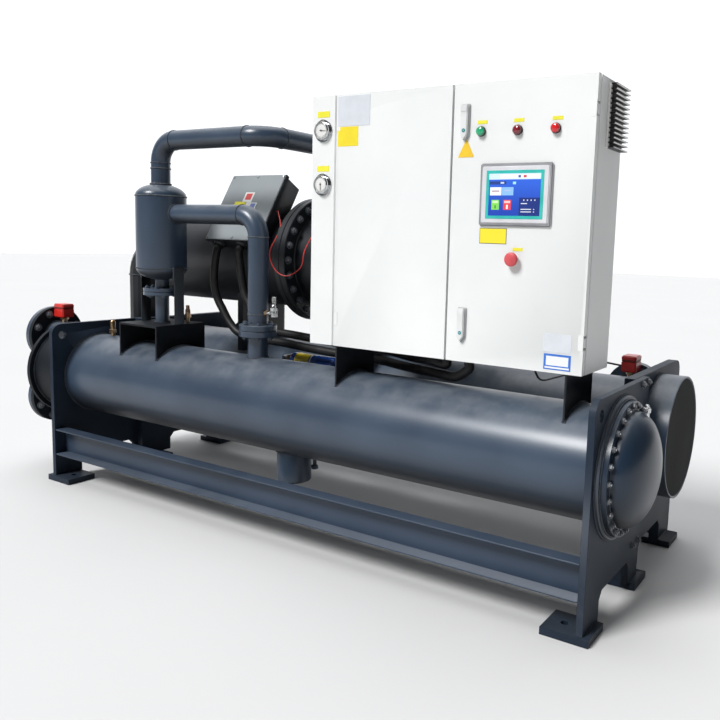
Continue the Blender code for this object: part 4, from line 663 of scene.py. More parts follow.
for height in (0.574, 0.298):
    nozzle = Vector((0.0, -0.258, height))
    water_box_work += [
        disc(-1.374, FLANGE_IN, FLANGE_RADIUS, X, nozzle, flange_shade_paint),
        disc(-1.354, -1.255, NOZZLE_RADIUS, X, nozzle, pipe_paint, 72),
        seam(nozzle, 0, -1.3742, 0.1243, 0.0016, seam_paint),
        seam(nozzle, 0, DRUM_ENDS[0] - 0.001, NOZZLE_RADIUS + 0.0005),
        seam(nozzle, 0, FLANGE_IN + 0.001, NOZZLE_RADIUS + 0.0005, 0.0032),
        bolt_ring((FLANGE_IN, *nozzle.yz), X, *FLANGE_BOLTS)]
    blinds += [
        disc(BLIND_OUT, BLIND_IN, FLANGE_RADIUS, X, nozzle, pipe_paint),
        bolt_ring((BLIND_OUT, *nozzle.yz), -X, *FLANGE_BOLTS)]
painted("water_box_with_nozzles", water_box_work, "condenser_water_box")
painted("blind_flange_pair", blinds, "blind_flange_upper", "blind_flange_lower")


# Evaporator: the thicker tube behind, with a drum head outside each rear plate, in the vessels' paint.
# Its flat right head is dark and lies in a thin raised rim; welds join the shell to the plates.
EVAPORATOR = Vector((0.0, 0.212, 0.436))
EVAPORATOR_RADIUS = 0.178
EVAPORATOR_SEAM = EVAPORATOR_RADIUS + 0.001
HEAD_RADIUS = 0.203
head_paint = machine_paint(
    "dark_head_paint", (0.003, 0.003, 0.004), (0.006, 0.0065, 0.007), 0.66, 0.03, 0.0, 0.10)
painted("evaporator_shell_smooth", [
    disc(-1.0124, 1.2284, EVAPORATOR_RADIUS, X, EVAPORATOR, pipe_paint, WIDE_SIDES),
    seam(EVAPORATOR, 0, 1.2270, EVAPORATOR_SEAM, WIDE_BEAD),
    seam(EVAPORATOR, 0, -1.0110, EVAPORATOR_SEAM, WIDE_BEAD),
], "evaporator_shell")
right_rim = [(1.263, HEAD_RADIUS), (1.345, HEAD_RADIUS), (1.345, 0.198), (1.3425, 0.1965)]
painted("evaporator_head_drum_right", [
    lathe(right_rim, X, EVAPORATOR, pipe_paint, WIDE_SIDES),
    disc(1.3400, 1.3432, 0.1955, X, EVAPORATOR, head_paint, WIDE_SIDES, 0.0004),
    seam(EVAPORATOR, 0, 1.2645, HEAD_RADIUS + 0.0005),
], "evaporator_head_right")
painted("evaporator_head_drum_left", [
    lathe([(-1.297, 0.198), (-1.292, HEAD_RADIUS), (-1.047, HEAD_RADIUS)],
          X, EVAPORATOR, pipe_paint, WIDE_SIDES),
    seam(EVAPORATOR, 0, -1.0485, HEAD_RADIUS + 0.0005),
], "evaporator_head_left")


# Evaporator's two rear water nozzles: short tubes welded on its back, with bolted flange pairs.
# The flanges have a thin dark gasket between them and eight bolts with nuts, painted over.
gasket_black = machine_paint("gasket_black", (0.010, 0.010, 0.011), (0.020, 0.020, 0.021), 0.6, 0.05, 0.0)
REAR_RADIUS = 0.057
REAR_FLANGE_RADIUS = 0.105
REAR_FLANGE = (0.452, 0.469)
REAR_BLIND = (0.471, 0.488)
REAR_BOLTS = (8, 0.084, 0.010, pipe_paint, math.pi / 8)
for side, place in (("right", 1.103), ("left", -0.887)):
    nozzle = Vector((place, 0.0, 0.525))
    neck = [(0.300, REAR_RADIUS), (REAR_FLANGE[0], REAR_RADIUS), (REAR_FLANGE[0], REAR_FLANGE_RADIUS),
            (REAR_FLANGE[1], REAR_FLANGE_RADIUS)]
    painted("rear_nozzle_" + side, [
        lathe(neck, Y, nozzle, pipe_paint, 80),
        disc(*REAR_BLIND, REAR_FLANGE_RADIUS, Y, nozzle, pipe_paint, 80),
        disc(0.4685, 0.4715, 0.099, Y, nozzle, gasket_black, 80, 0.0002),
        seam(nozzle, 1, REAR_FLANGE[0] - 0.001, REAR_RADIUS + 0.001, 0.0032),
        bolt_ring(nozzle + Y * REAR_BLIND[1], Y, *REAR_BOLTS),
        bolt_ring(nozzle + Y * REAR_FLANGE[0], -Y, *REAR_BOLTS),
    ], "evaporator_nozzle_" + side)


# Flow switches: a red moulded box with a darker lid joint, held on a brass stem with a hexagon nut.
# One stands on the upper water nozzle and one on the right rear nozzle.
def moulded(name, dark, light, roughness, coat=0.0, shine_level=0.5):
    finish = Finish(name)
    flow = finish.noise(18.0, 3.0)
    return finish.set(
        Base_Color=finish.blend(flow.eased(0.3, 0.7), dark, light), Coat_Weight=coat,
        Roughness=roughness + (flow - 0.5) * 0.12, Normal=finish.bump(finish.noise(900.0), 0.0002, 0.2),
        Specular_IOR_Level=shine_level)


def block(low, high, finish, edge=0.001, rounds=2):
    # A solid block with softened edges
    shape = bmesh.new()
    bmesh.ops.create_cube(shape, size=1.0)
    low = Vector(low)
    high = Vector(high)
    for vertex in shape.verts:
        vertex.co = (low + high) / 2 + Vector(a * b for a, b in zip(vertex.co, high - low))
    bmesh.ops.bevel(
        shape, geom=shape.edges[:], offset=edge, segments=rounds, affect="EDGES", clamp_overlap=True)
    return as_mesh(shape, "block", finish)


red_joint = moulded("red_joint", (0.16, 0.006, 0.005), (0.22, 0.010, 0.008), 0.50)
red_plastic = moulded("red_plastic", (0.50, 0.012, 0.008), (0.66, 0.022, 0.014), 0.36, 0.2)
brass = plain_metal("turned_brass", (0.30, 0.20, 0.11), (0.50, 0.36, 0.22), 0.36)
lip = Vector((0.0015, 0.0015, 0.0))
for side, centre, half in (
        ("left", Vector((-1.302, -0.258, 0.635)), (0.035, 0.0275)),
        ("right", Vector((1.103, 0.407, 0.582)), (0.0275, 0.035))):
    low = centre + Vector((-half[0], -half[1], 0.022))
    high = centre + Vector((*half, 0.082))
    together("flow_switch_box_" + side, [
        block(low, (*high.xy, low.z + 0.040), red_plastic, 0.004, 3),
        block(low + Z * 0.038 + lip, Vector((*high.xy, low.z + 0.046)) - lip, red_joint),
        block((*low.xy, low.z + 0.042), high, red_plastic, 0.004, 3),
        *discs(Z, centre, brass, (-0.004, 0.014, 0.012, 48), (0.011, 0.0225, 0.0185, 6, 0.001)),
    ], "red_plastic", "flow_switch_" + side)


# Relief valve: a small turned brass valve with a hexagon, screwed into the condenser near its left end.
# Its cap is a little narrower at the top.
RELIEF = Vector((-0.957, -0.258, 0.0))
together("relief_valve_turned", [
    *discs(Z, RELIEF, brass, (0.590, 0.622, 0.009, 32), (0.616, 0.631, 0.0145, 6, 0.001)),
    lathe([(0.630, 0.011), (0.664, 0.011), (0.672, 0.0066)], Z, RELIEF, brass, 32),
], "brass", "relief_valve")


# Compressor: a heavy iron casting in three bolted lengths: motor, rotor housing and end housing.
# It has near-black paint over a slightly rough skin; bolts ring the two thick flanges.
COMPRESSOR = Vector((0.0, 0.142, 0.96))
MOTOR_END, CASING_START, CASING_END = -1.007, -0.177, 0.353
MOTOR_RADIUS = 0.200
CASING_RADIUS = 0.190
CASING_FLANGE = 0.250
END_FLANGE = 0.215
cast_paint = machine_paint(
    "cast_iron_paint", (0.007, 0.009, 0.012), (0.014, 0.017, 0.022), 0.42, 0.10, 0.06, 0.35)
motor_outline = [
    (MOTOR_END, 0.160), (-0.999, 0.174), (-0.985, 0.190), (-0.965, MOTOR_RADIUS),
    (CASING_START - TOUCHING, MOTOR_RADIUS)]
casing_outline = [
    (CASING_START, CASING_FLANGE), (-0.151, CASING_FLANGE), (-0.151, 0.2465), (-0.148, 0.2465),
    (-0.148, CASING_FLANGE), (-0.122, CASING_FLANGE), (-0.122, CASING_RADIUS), (CASING_END, CASING_RADIUS)]
housing_outline = [
    (CASING_END + TOUCHING, END_FLANGE), (0.473, END_FLANGE), (0.490, 0.192), (0.503, 0.155)]
together("compressor_motor_cast", [
    lathe(motor_outline, X, COMPRESSOR, cast_paint, 128),
    bolt_ring((CASING_START, *COMPRESSOR.yz), -X, 24, 0.232, 0.0115, cast_paint),
], "dark_paint", "compressor_motor")
together("compressor_casing_cast", [
    lathe(casing_outline, X, COMPRESSOR, cast_paint, WIDE_SIDES, 0.003),
    # The front flange's bolts take the pale paint that paints their glints
    bolt_ring((-0.122, *COMPRESSOR.yz), X, 24, 0.226, 0.0125, bolt_glint_paint),
    bolt_ring((CASING_END + TOUCHING, *COMPRESSOR.yz), -X, 16, 0.202, 0.009, cast_paint),
], "dark_paint", "compressor_casing")
together("compressor_end_cast", [
    lathe(housing_outline, X, COMPRESSOR, cast_paint, 128),
], "dark_paint", "compressor_end_housing")


# Compressor's saddle plates: two thick cast-coloured plates, cut to the motor's and the evaporator's curves.
# A bead on each side of a plate welds it on the evaporator.
def saddle_line(x, first, last, vessel, radius, count=24):
    # Points over a lying vessel's top at one place along it
    points = []
    for step in range(count + 1):
        y = first + (last - first) * step / count
        points.append((x, y, vessel.z + math.sqrt(radius ** 2 - (y - vessel.y) ** 2)))
    return points


def on_saddle(node, finish, edge, middle, half, first, last, vessel, radius, bead):
    # A CAD plate that stands across a vessel, softened, with a bead along both of its faces
    return [softened_node(node, finish, edge)] + [
        weld(saddle_line(x, first, last, vessel, radius), bead) for x in (middle - half, middle + half)]


for side, place in (("left", -0.477), ("right", 0.163)):
    node = "compressor_support_" + side
    saddle = on_saddle(
        node, cast_paint, 0.0015, place, 0.016, 0.087, 0.272, EVAPORATOR, EVAPORATOR_SEAM, 0.004)
    together("compressor_saddle_" + side, saddle, "dark_paint", node)


# Suction pipe: a wide bent tube from the left head up into the motor's end, in the castings' paint.
# Its welds lie at both ends of the bend and at the motor.
SUCTION_BEND = Vector((-1.250, 0.142, 0.960))
SUCTION_RADIUS = 0.0755
dress(cast_paint, "suction_pipe")
together("suction_welds", [
    seam(SUCTION_BEND, 2, 0.845, SUCTION_RADIUS, 0.0034),
    seam(SUCTION_BEND, 0, -1.135, SUCTION_RADIUS, 0.0034),
    seam(SUCTION_BEND, 0, -1.0085, SUCTION_RADIUS + 0.0005, 0.0040),
], "dark_paint")


# Terminal box: a black sheet-steel box leaning on the motor's shoulder. Its lid has a grey face and dark
# folded edges, six screws of which one is bright, and bare stickers. Two black glands hang below the box.
LID_MIDDLE = Vector((-0.397, -0.038, 1.166))
LID_TOP = 0.1575
LID_FOLD = 0.020
lid_outward = Vector((0.0, -0.8616, 0.5075))
lid_upward = Vector((0.0, 0.5075, 0.8616))
on_lid = Matrix.Translation(LID_MIDDLE) @ Matrix((X, -lid_outward, lid_upward)).transposed().to_4x4()
lid_paint = machine_paint("grey_lid_paint", (0.170, 0.190, 0.205), (0.215, 0.240, 0.255), 0.48, 0.12)
lid_work = [block((-0.148, 0.0, -0.1560), (0.146, 0.004, 0.1560), lid_paint, 0.0018, 3)]
for left, right_end, bottom, top in (
        (-0.150, -0.1465, -LID_TOP, LID_TOP), (0.1465, 0.150, -LID_TOP, LID_TOP),
        (-0.150, 0.150, -LID_TOP, -0.1540), (-0.150, 0.150, 0.1540, LID_TOP)):
    lid_work.append(block((left, 0.003, bottom), (right_end, LID_FOLD, top), cast_paint))
lid_screws = []
for along in (-0.138, 0.0, 0.138):
    for height in (-0.146, 0.146):
        coat = bright_steel if height > 0 and along > 0 else lid_paint
        lid_screws.append(lathe([(0.0, 0.0058), (0.0028, 0.0045), (0.0036, 0.0)], -Y, (along, 0.0, height),
                                coat, 20, 0.0002))


def bare_label(name, base, *patches):
    # A printed film without any words: coloured rectangles on a ground; a patch is centre, size and colour
    finish = Finish(name)
    colour = finish.blend(finish.noise(24.0, 3.0).eased(0.3, 0.7), base, tuple(0.92 * part for part in base))
    axes = [finish.along(axis) for axis in ("X", "Y", "Z")]
    for centre, size, tint in patches:
        inside = 1.0
        for axis, middle, width in zip(axes, centre, size):
            if width:
                inside = (axis - middle).size().below(width / 2) * inside
        colour = finish.blend(inside, colour, tint)
    return finish.set(Base_Color=colour, Roughness=0.38, Coat_Weight=0.3, Coat_Roughness=0.15)


white_film = bare_label("white_film", (0.78, 0.78, 0.76))
yellow_film = bare_label("yellow_film", (0.85, 0.79, 0.05))
red_film = bare_label("red_film", (0.62, 0.06, 0.06))
blue_film = bare_label("blue_film", (0.16, 0.22, 0.50))
stickers = []
for left, right_end, bottom, top, thick, film in (
        (-0.030, 0.020, 0.021, 0.070, 0.0006, white_film), (-0.021, 0.012, 0.034, 0.064, 0.0009, red_film),
        (-0.069, -0.008, 0.004, 0.024, 0.0006, yellow_film),
        (-0.004, 0.056, -0.012, 0.020, 0.0008, white_film),
        (0.024, 0.050, -0.008, 0.016, 0.0011, blue_film)):
    stickers.append(block((left, -thick, bottom), (right_end, 0.001, top), film, 0.0001, 1))
for mesh in lid_work + lid_screws + stickers:
    mesh.transform(on_lid)
together("terminal_lid_folded", lid_work, "grey_lid", "terminal_lid")
together("terminal_lid_screws", lid_screws, "bright_steel")
together("terminal_lid_stickers", stickers, "grey_lid")
terminal_work = [softened_node("terminal_box", cast_paint, 0.001)]
for along in (-0.092, 0.034):
    gland_foot = LID_MIDDLE + X * along - lid_outward * 0.034 - lid_upward * 0.1535
    terminal_work.append(disc(0.0, 0.007, 0.0275, -lid_upward, gland_foot, gasket_black, 6, 0.001))
together("terminal_box_softened", terminal_work, "dark_paint", "terminal_box")


# Oil separator: an upright rolled vessel with pressed ends, welded all round, over a bolted drain flange.
# The two seams at its top are left paler.
SEPARATOR = Vector((-0.638, -0.258, 0.0))
SEPARATOR_RADIUS = 0.097
SEPARATOR_SEAM = SEPARATOR_RADIUS + 0.0005
DRAIN_RADIUS = 0.027
DRAIN_FLANGE = 0.072
separator_outline = [
    (0.6883, DRAIN_RADIUS), (0.800, DRAIN_RADIUS), (0.800, DRAIN_FLANGE), (0.8130, DRAIN_FLANGE),
    (0.8130, 0.069), (0.8150, 0.069), (0.8150, DRAIN_FLANGE), (0.828, DRAIN_FLANGE), (0.828, DRAIN_RADIUS),
    (0.862, DRAIN_RADIUS)]
for step in range(3, 17):
    turn = math.pi / 2 * step / 16
    separator_outline.append((0.860 + 0.048 * (1 - math.cos(turn)), SEPARATOR_RADIUS * math.sin(turn)))
separator_outline += dished(1.193, 0.048, SEPARATOR_RADIUS, 16, 0, 13) + [(1.2400, 0.037), (1.300, 0.037)]
separator_work = [lathe(separator_outline, Z, SEPARATOR, pipe_paint, 112, 0.001)]
for height, radius, bead in (
        (0.908, 0.0972, 0.0026), (1.193, 0.0972, 0.0026), (1.2405, 0.0385, 0.0036), (0.8285, 0.0285, 0.0030),
        (0.7995, 0.0285, 0.0030), (0.690, 0.0285, 0.0030)):
    finish = seam_paint if height > 1.0 else weld_paint
    separator_work.append(seam(SEPARATOR, 2, height, radius, bead, finish))
for height, toward in ((0.828, Z), (0.800, -Z)):
    separator_work.append(bolt_ring((*SEPARATOR.xy, height), toward, 6, 0.056, 0.0085, pipe_paint))
painted("oil_separator_welded", separator_work, "oil_separator")


# Separator's stand: a plate on two curved saddles, with two flat legs, all welded, in a near-black paint
# that paints its shade.
# A brass oil valve stands on it.
CONDENSER_SEAM = 0.1685
stand_work = [softened_node("separator_stand", flange_shade_paint, 0.0012)]
for x in (-0.751, -0.741, -0.535, -0.525):
    stand_work.append(weld(saddle_line(x, -0.377, -0.139, CONDENSER, CONDENSER_SEAM), 0.0034))
for edge_x in (SEPARATOR.x - SEPARATOR_SEAM, SEPARATOR.x + SEPARATOR_SEAM):
    for y in (-0.2815, -0.2345):
        stand_work.append(weld([(edge_x, y, 0.866), (edge_x, y, 0.915)], 0.003))
painted("separator_stand_welded", stand_work, "separator_stand")
OIL_VALVE = Vector((-0.575, -0.183, 0.6883))
together("oil_valve_turned", [
    *discs(Z, OIL_VALVE, brass, (0.0, 0.022, 0.0075, 24), (0.019, 0.034, 0.0130, 6, 0.001)),
    lathe([(0.033, 0.0105), (0.050, 0.0105), (0.054, 0.0075), (0.0697, 0.0070)], Z, OIL_VALVE, brass, 24),
], "brass", "oil_valve")


# Discharge pipes: drawn steel tube with welded quarter bends, from the separator to the compressor
# and to the condenser. The side pipe ends in a bolted flange pair on the condenser's inlet stub.
PIPE_RADIUS = 0.037
PIPE_FLANGE = 0.069
PIPE_BOLTS = (6, 0.0535, 0.009, pipe_paint, 0.3)
THIN_SEAM = 0.0372
THIN_BEAD = 0.0022
TOP_HEIGHT = 1.408
top_corners = [(-0.638, -0.258, 1.3003), (-0.638, -0.258, TOP_HEIGHT), (-0.077, -0.258, TOP_HEIGHT),
               (-0.077, 0.142, TOP_HEIGHT), (-0.077, 0.142, 1.100)]
top_work = [
    run(rounded_route(top_corners, 0.085), PIPE_RADIUS, pipe_paint),
    seam(top_corners[1], 2, 1.3015, 0.0375, 0.0026, seam_paint),
    seam(top_corners[1], 2, 1.323, THIN_SEAM, THIN_BEAD, seam_paint)]
for corner, axis, place in ((1, 0, -0.553), (2, 0, -0.162), (2, 1, -0.173), (3, 1, 0.057), (3, 2, 1.323)):
    top_work.append(seam(top_corners[corner], axis, place, THIN_SEAM, THIN_BEAD))
top_work.append(seam(top_corners[3], 2, 1.152, 0.0385))
painted("top_pipe_welded", top_work, "top_discharge_pipe")

SIDE_PIPE = Vector((-0.1082, -0.258, 1.125))
side_route = rounded_route([(-0.600, *SIDE_PIPE.yz), SIDE_PIPE, (*SIDE_PIPE.xy, 0.715)], 0.080)
PIPE_JOINT = PIPE_RADIUS + 0.001
side_joint = []
for step in range(64):
    turn = math.tau * step / 64
    across = PIPE_JOINT * math.cos(turn)
    reach = math.sqrt(SEPARATOR_SEAM ** 2 - across ** 2)
    side_joint.append((SEPARATOR.x + reach, -0.258 + across, 1.125 + PIPE_JOINT * math.sin(turn)))
side_foot = Vector((*SIDE_PIPE.xy, 0.0))
painted("side_pipe_welded", [
    run(side_route, PIPE_RADIUS, pipe_paint),
    weld(side_joint, closed=True),
    seam(SIDE_PIPE, 0, -0.1882, THIN_SEAM, THIN_BEAD),
    seam(SIDE_PIPE, 2, 1.045, 0.0373, THIN_BEAD, seam_paint), seam(SIDE_PIPE, 2, 0.7255, 0.0385, 0.0034),
    seam(SIDE_PIPE, 2, 0.762, 0.0373, 0.0020, seam_paint),
    disc(0.7023, 0.7243, PIPE_FLANGE, Z, side_foot, pipe_paint, 80, 0.002),
    bolt_ring((*SIDE_PIPE.xy, 0.7243), Z, *PIPE_BOLTS),
], "side_discharge_pipe")
stub_outline = [(0.590, PIPE_RADIUS), (0.680, PIPE_RADIUS), (0.680, PIPE_FLANGE), (0.7018, PIPE_FLANGE)]
painted("condenser_inlet_welded", [
    lathe(stub_outline, Z, side_foot, pipe_paint, 80, 0.002),
    weld(saddle_points(SIDE_PIPE, PIPE_JOINT, 1), 0.0038, closed=True),
    bolt_ring((*SIDE_PIPE.xy, 0.680), -Z, *PIPE_BOLTS),
], "condenser_inlet")


# Service valve: a small plated angle valve on a stub of the side pipe, with a turned cap.
# A brass nut joins it to the stub.
VALVE = Vector((-0.0282, -0.258, 0.769))
together("service_valve_turned", [
    disc(-0.0715 - VALVE.x, -0.0615 - VALVE.x, 0.0115, X, VALVE, brass, 6, 0.001),
    disc(-0.0640 - VALVE.x, 0.0, 0.007, X, VALVE, bright_steel, 24),
    lathe([(-0.012, 0.0120), (0.030, 0.0120), (0.033, 0.0085), (0.046, 0.0085)], Z, VALVE, bright_steel, 24),
    disc(0.010, 0.022, 0.0140, Z, VALVE, bright_steel, 6, 0.001),
    lathe([(0.044, 0.0100), (0.062, 0.0090), (0.064, 0.0)], Z, VALVE, bright_steel, 18, 0.001),
], "bright_steel", "service_valve")


# Filter drier: a blue lacquered steel shell with a yellow label band and a white ring, in the liquid line.
# Brass flare nuts join it to the painted line between the two vessels.
blue_lacquer = moulded("blue_lacquer", (0.010, 0.045, 0.22), (0.015, 0.065, 0.30), 0.26, 0.4)
yellow_band = moulded("yellow_band", (0.80, 0.60, 0.02), (0.86, 0.68, 0.04), 0.35, 0.2)
white_band = moulded("white_band", (0.72, 0.72, 0.70), (0.78, 0.78, 0.76), 0.35, 0.2)
DRIER = Vector((0.0, -0.038, 0.565))
drier_left = [(-0.142, 0.0108), (-0.136, 0.0150), (-0.130, 0.024), (-0.122, 0.029), (-0.114, 0.030)]
drier_outline = drier_left + [(-0.039 - along, radius) for along, radius in reversed(drier_left)]
line_corners = [(-0.197, 0.160, DRIER.z), (-0.197, *DRIER.yz), (0.158, *DRIER.yz), (0.158, -0.190, DRIER.z)]
together("filter_drier_banded", [
    lathe(drier_outline, X, DRIER, blue_lacquer, 64),
    disc(-0.100, -0.030, 0.0304, X, DRIER, yellow_band, 64, 0.0001),
    disc(-0.026, -0.018, 0.0304, X, DRIER, white_band, 64, 0.0001),
    *discs(X, DRIER, brass, (-0.160, -0.140, 0.0150, 6, 0.001), (0.101, 0.121, 0.0150, 6, 0.001)),
    run(rounded_route(line_corners, 0.030), 0.009, pipe_paint, 6),
], "blue_paint", "filter_drier")


# Power conduits: black corrugated plastic hose from the terminal box's glands to the cabinet's floor.
# Ring-shaped ribs follow the whole route at an even pitch; the ends sit in the two fittings.
hose = Pattern("corrugated_hose", radius=0.016, pitch=0.0075, rib=0.10)
hose_line = hose.node("GeometryNodeMeshToCurve", None, {0: hose.given("Geometry")})
hose_line = hose.node("GeometryNodeCurveSplineType", {"spline_type": "CATMULL_ROM"}, {"Curve": hose_line})
hose_line = hose.node("GeometryNodeResampleCurve", {"mode": "LENGTH"}, {
    "Curve": hose_line, "Length": hose.given("pitch") / 6})
travel = hose.node("GeometryNodeSplineParameter", out="Length")
ribs = (travel / hose.given("pitch") * math.tau).sine()
hose_line = hose.node("GeometryNodeSetCurveRadius", None, {
    "Curve": hose_line, "Radius": 1.0 - hose.given("rib") / 2 + ribs * hose.given("rib") / 2})
hose_round = hose.node("GeometryNodeCurvePrimitiveCircle", None, {
    "Resolution": 20, "Radius": hose.given("radius")})
hose.done(hose.node("GeometryNodeCurveToMesh", None, {
    "Curve": hose_line, "Profile Curve": hose_round, "Fill Caps": True}))

hose_plastic = moulded("black_hose", (0.007, 0.007, 0.008), (0.015, 0.015, 0.016), 0.46, 0.0, 0.3)
LEFT_ROUTE = [
    (-0.489, -0.094, 1.004), (-0.489, -0.106, 0.984), (-0.496, -0.111, 0.919), (-0.497, -0.113, 0.859),
    (-0.481, -0.113, 0.797), (-0.446, -0.113, 0.745), (-0.409, -0.113, 0.697), (-0.362, -0.113, 0.661),
    (-0.302, -0.113, 0.648), (-0.234, -0.113, 0.644), (-0.168, -0.113, 0.642), (-0.108, -0.113, 0.640),
    (-0.054, -0.113, 0.637), (0.008, -0.113, 0.633), (0.073, -0.113, 0.630), (0.136, -0.113, 0.627),
    (0.205, -0.113, 0.623), (0.269, -0.112, 0.621), (0.327, -0.109, 0.622), (0.388, -0.123, 0.622),
    (0.444, -0.141, 0.621), (0.504, -0.162, 0.621), (0.568, -0.185, 0.622), (0.630, -0.209, 0.624),
    (0.682, -0.230, 0.625), (0.740, -0.252, 0.629), (0.788, -0.258, 0.660), (0.788, -0.258, 0.684)]
RIGHT_ROUTE = [
    (-0.363, -0.094, 1.004), (-0.363, -0.106, 0.984), (-0.371, -0.090, 0.923), (-0.369, -0.081, 0.861),
    (-0.348, -0.083, 0.804), (-0.309, -0.083, 0.754), (-0.269, -0.083, 0.709), (-0.213, -0.083, 0.680),
    (-0.150, -0.083, 0.674), (-0.086, -0.083, 0.671), (-0.031, -0.083, 0.668), (0.033, -0.083, 0.665),
    (0.099, -0.083, 0.662), (0.163, -0.083, 0.659), (0.228, -0.083, 0.656), (0.286, -0.081, 0.655),
    (0.349, -0.083, 0.656), (0.410, -0.105, 0.656), (0.462, -0.129, 0.655), (0.518, -0.155, 0.656),
    (0.577, -0.186, 0.660), (0.630, -0.215, 0.664), (0.688, -0.228, 0.660), (0.688, -0.228, 0.684)]
for side, route in (("left", LEFT_ROUTE), ("right", RIGHT_ROUTE)):
    guide = bpy.data.meshes.new("hose_route")
    guide.from_pydata([Vector(point) for point in route], [(at, at + 1) for at in range(len(route) - 1)], [])
    corrugated = closed_up(hose.grow("hose", hose_plastic, guide=guide), 60)
    together("corrugated_conduit_" + side, [corrugated], "black_plastic", "conduit_" + side)


# Sensor wire and switch wire: thin insulated wires, red on the compressor and black from the right flow
# switch to the cabinet. They keep the CAD's shape.
dress(moulded("red_wire", (0.50, 0.025, 0.02), (0.62, 0.05, 0.04), 0.40), "sensor_wire")
dress(moulded("black_wire", (0.012, 0.012, 0.013), (0.022, 0.022, 0.024), 0.42), "switch_wire")


# Cabinet brackets: two upright plates welded on the condenser that carry the cabinet.
# They have the castings' near-black paint.
for side, place in (("left", 0.349), ("right", 1.153)):
    node = "cabinet_bracket_" + side
    painted("cabinet_bracket_welded_" + side, on_saddle(
        node, cast_paint, 0.001, place, 0.0035, -0.366, -0.160, CONDENSER, CONDENSER_SEAM, 0.0034), node)


# Control cabinet: folded steel sheet with a fine white powder coat; its two doors swing on small hinges.
# A zinc-coated mounting plate stands inside. The vent on its right side is painted black for its shade, with
# painted highlights on its fin tips and front border.
CABINET_FRONT = -0.368
HINGE_INSET = 0.090
powder = Finish("white_powder_coat")
powder_patch = powder.noise(2.4, 3.0)
handled = powder.noise(9.0, 5.0, 0.7).eased(0.58, 0.78)
powder_grain = powder.noise(420.0, 2.0)
powder_colour = powder.blend(powder_patch.eased(0.3, 0.7), (0.740, 0.755, 0.750), (0.790, 0.800, 0.795))
white_coat = powder.set(
    Base_Color=powder.blend(handled * 0.08, powder_colour, (0.60, 0.60, 0.58)),
    Roughness=0.40 + (powder_patch - 0.5) * 0.10 + handled * 0.06,
    Normal=powder.bump(powder_grain, 0.0003, 0.25))
cabinet_sheet = softened_node("cabinet_body", white_coat, 0.0015)
together("cabinet_shell", [cabinet_sheet], "white_paint", "cabinet_body")
for side in ("left", "right"):
    door_low, door_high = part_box(side + "_door")
    if side == "left":
        cap_x = (door_low.x + 0.0004, door_low.x + 0.0150)
    else:
        cap_x = (door_high.x - 0.0150, door_high.x - 0.0004)
    leaf = [softened_node(side + "_door", white_coat, 0.002)]
    for height in (door_low.z + HINGE_INSET, door_high.z - HINGE_INSET):
        # A thin cap hides each hinge's notch
        leaf.append(block((cap_x[0], CABINET_FRONT - 0.0009, height - 0.0215),
                          (cap_x[1], CABINET_FRONT - 0.0001, height + 0.0215), white_coat, 0.0003, 1))
    together("door_leaf_" + side, leaf, "white_paint", side + "_door", body=side + "_door")

zinc = Finish("zinc_coated_sheet")
crystals = zinc.node("ShaderNodeTexVoronoi", None, {"Vector": zinc.place, "Scale": 90.0}, out="Color")
grey = zinc.node("ShaderNodeSeparateColor", None, {0: crystals})
zinc_colour = zinc.blend(grey, (0.42, 0.43, 0.44), (0.60, 0.61, 0.62))
dress(zinc.set(Base_Color=zinc_colour, Metallic=1.0, Roughness=0.30 + grey * 0.22), "mounting_panel")
vent_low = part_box("side_vent")[0]
# The vent is painted black as shade, and its fin tips and front border pale as painted highlights
vent_shading = Finish("anodised_vent")
lit_fin_tips = vent_shading.facing("X").above(0.7) * vent_shading.along("X").above(vent_low.x + 0.020)
lit_front_border = vent_shading.along("Y").below(vent_low.y + 0.012) * vent_shading.along("X").below(vent_low.x + 0.0065)
painted_highlight = lit_fin_tips.larger(lit_front_border)
wear = vent_shading.noise(60.0, 4.0)
painted_shade_black = vent_shading.blend(wear, (0.006, 0.006, 0.007), (0.014, 0.014, 0.015))
fin_metal = vent_shading.set(
    Base_Color=vent_shading.blend(painted_highlight, painted_shade_black, (0.80, 0.79, 0.77)), Roughness=0.50 - wear * 0.16,
    Specular_IOR_Level=0.2)
vent_fins = softened_node("side_vent", fin_metal, 0.0005)
together("side_vent_fins", [vent_fins], "aluminium", "side_vent")


# Pressure gauges: chromed bezels with a thin fixing flange and three small screws, a white dial
# with black scale marks, and a needle on a black hub; a bare yellow tag is stuck above each.
marks = Pattern("dial_marks", count=36, ring=0.021, length=0.003)
mark_size = marks.node("ShaderNodeCombineXYZ", None, {"X": marks.given("length"), "Y": 0.0006, "Z": 0.0004})
mark = marks.node("GeometryNodeMeshCube", None, {"Size": mark_size})
radial = marks.node("FunctionNodeAlignRotationToVector", {"axis": "X"}, {
    "Vector": marks.node("GeometryNodeInputPosition")})
mark_places = marks.node("GeometryNodeMeshCircle", None, {
    "Vertices": marks.given("count"), "Radius": marks.given("ring")})
marks.done(marks.node("GeometryNodeInstanceOnPoints", None, {
    "Points": mark_places, "Instance": mark, "Rotation": radial}))

chrome = plain_metal("gauge_chrome", (0.50, 0.51, 0.52), (0.72, 0.73, 0.74), 0.14)
dial_white = moulded("dial_white", (0.72, 0.72, 0.70), (0.80, 0.80, 0.78), 0.30, 0.6)
ink_black = moulded("ink_black", (0.010, 0.010, 0.011), (0.020, 0.020, 0.021), 0.40)
dial_rim = moulded("dial_rim_grey", (0.10, 0.105, 0.11), (0.15, 0.155, 0.16), 0.30)


def on_front(x, z, out=0.0):
    # A place on the doors' front plane; out is how far it stands before it
    return Vector((x, CABINET_FRONT - out, z))


def front_plate(x0, x1, z0, z1, finish, thick=0.0008):
    # A thin plate or film stuck on the front plane
    return block((x0, CABINET_FRONT - thick, z0), (x1, CABINET_FRONT + 0.0004, z1), finish, 0.0002, 1)


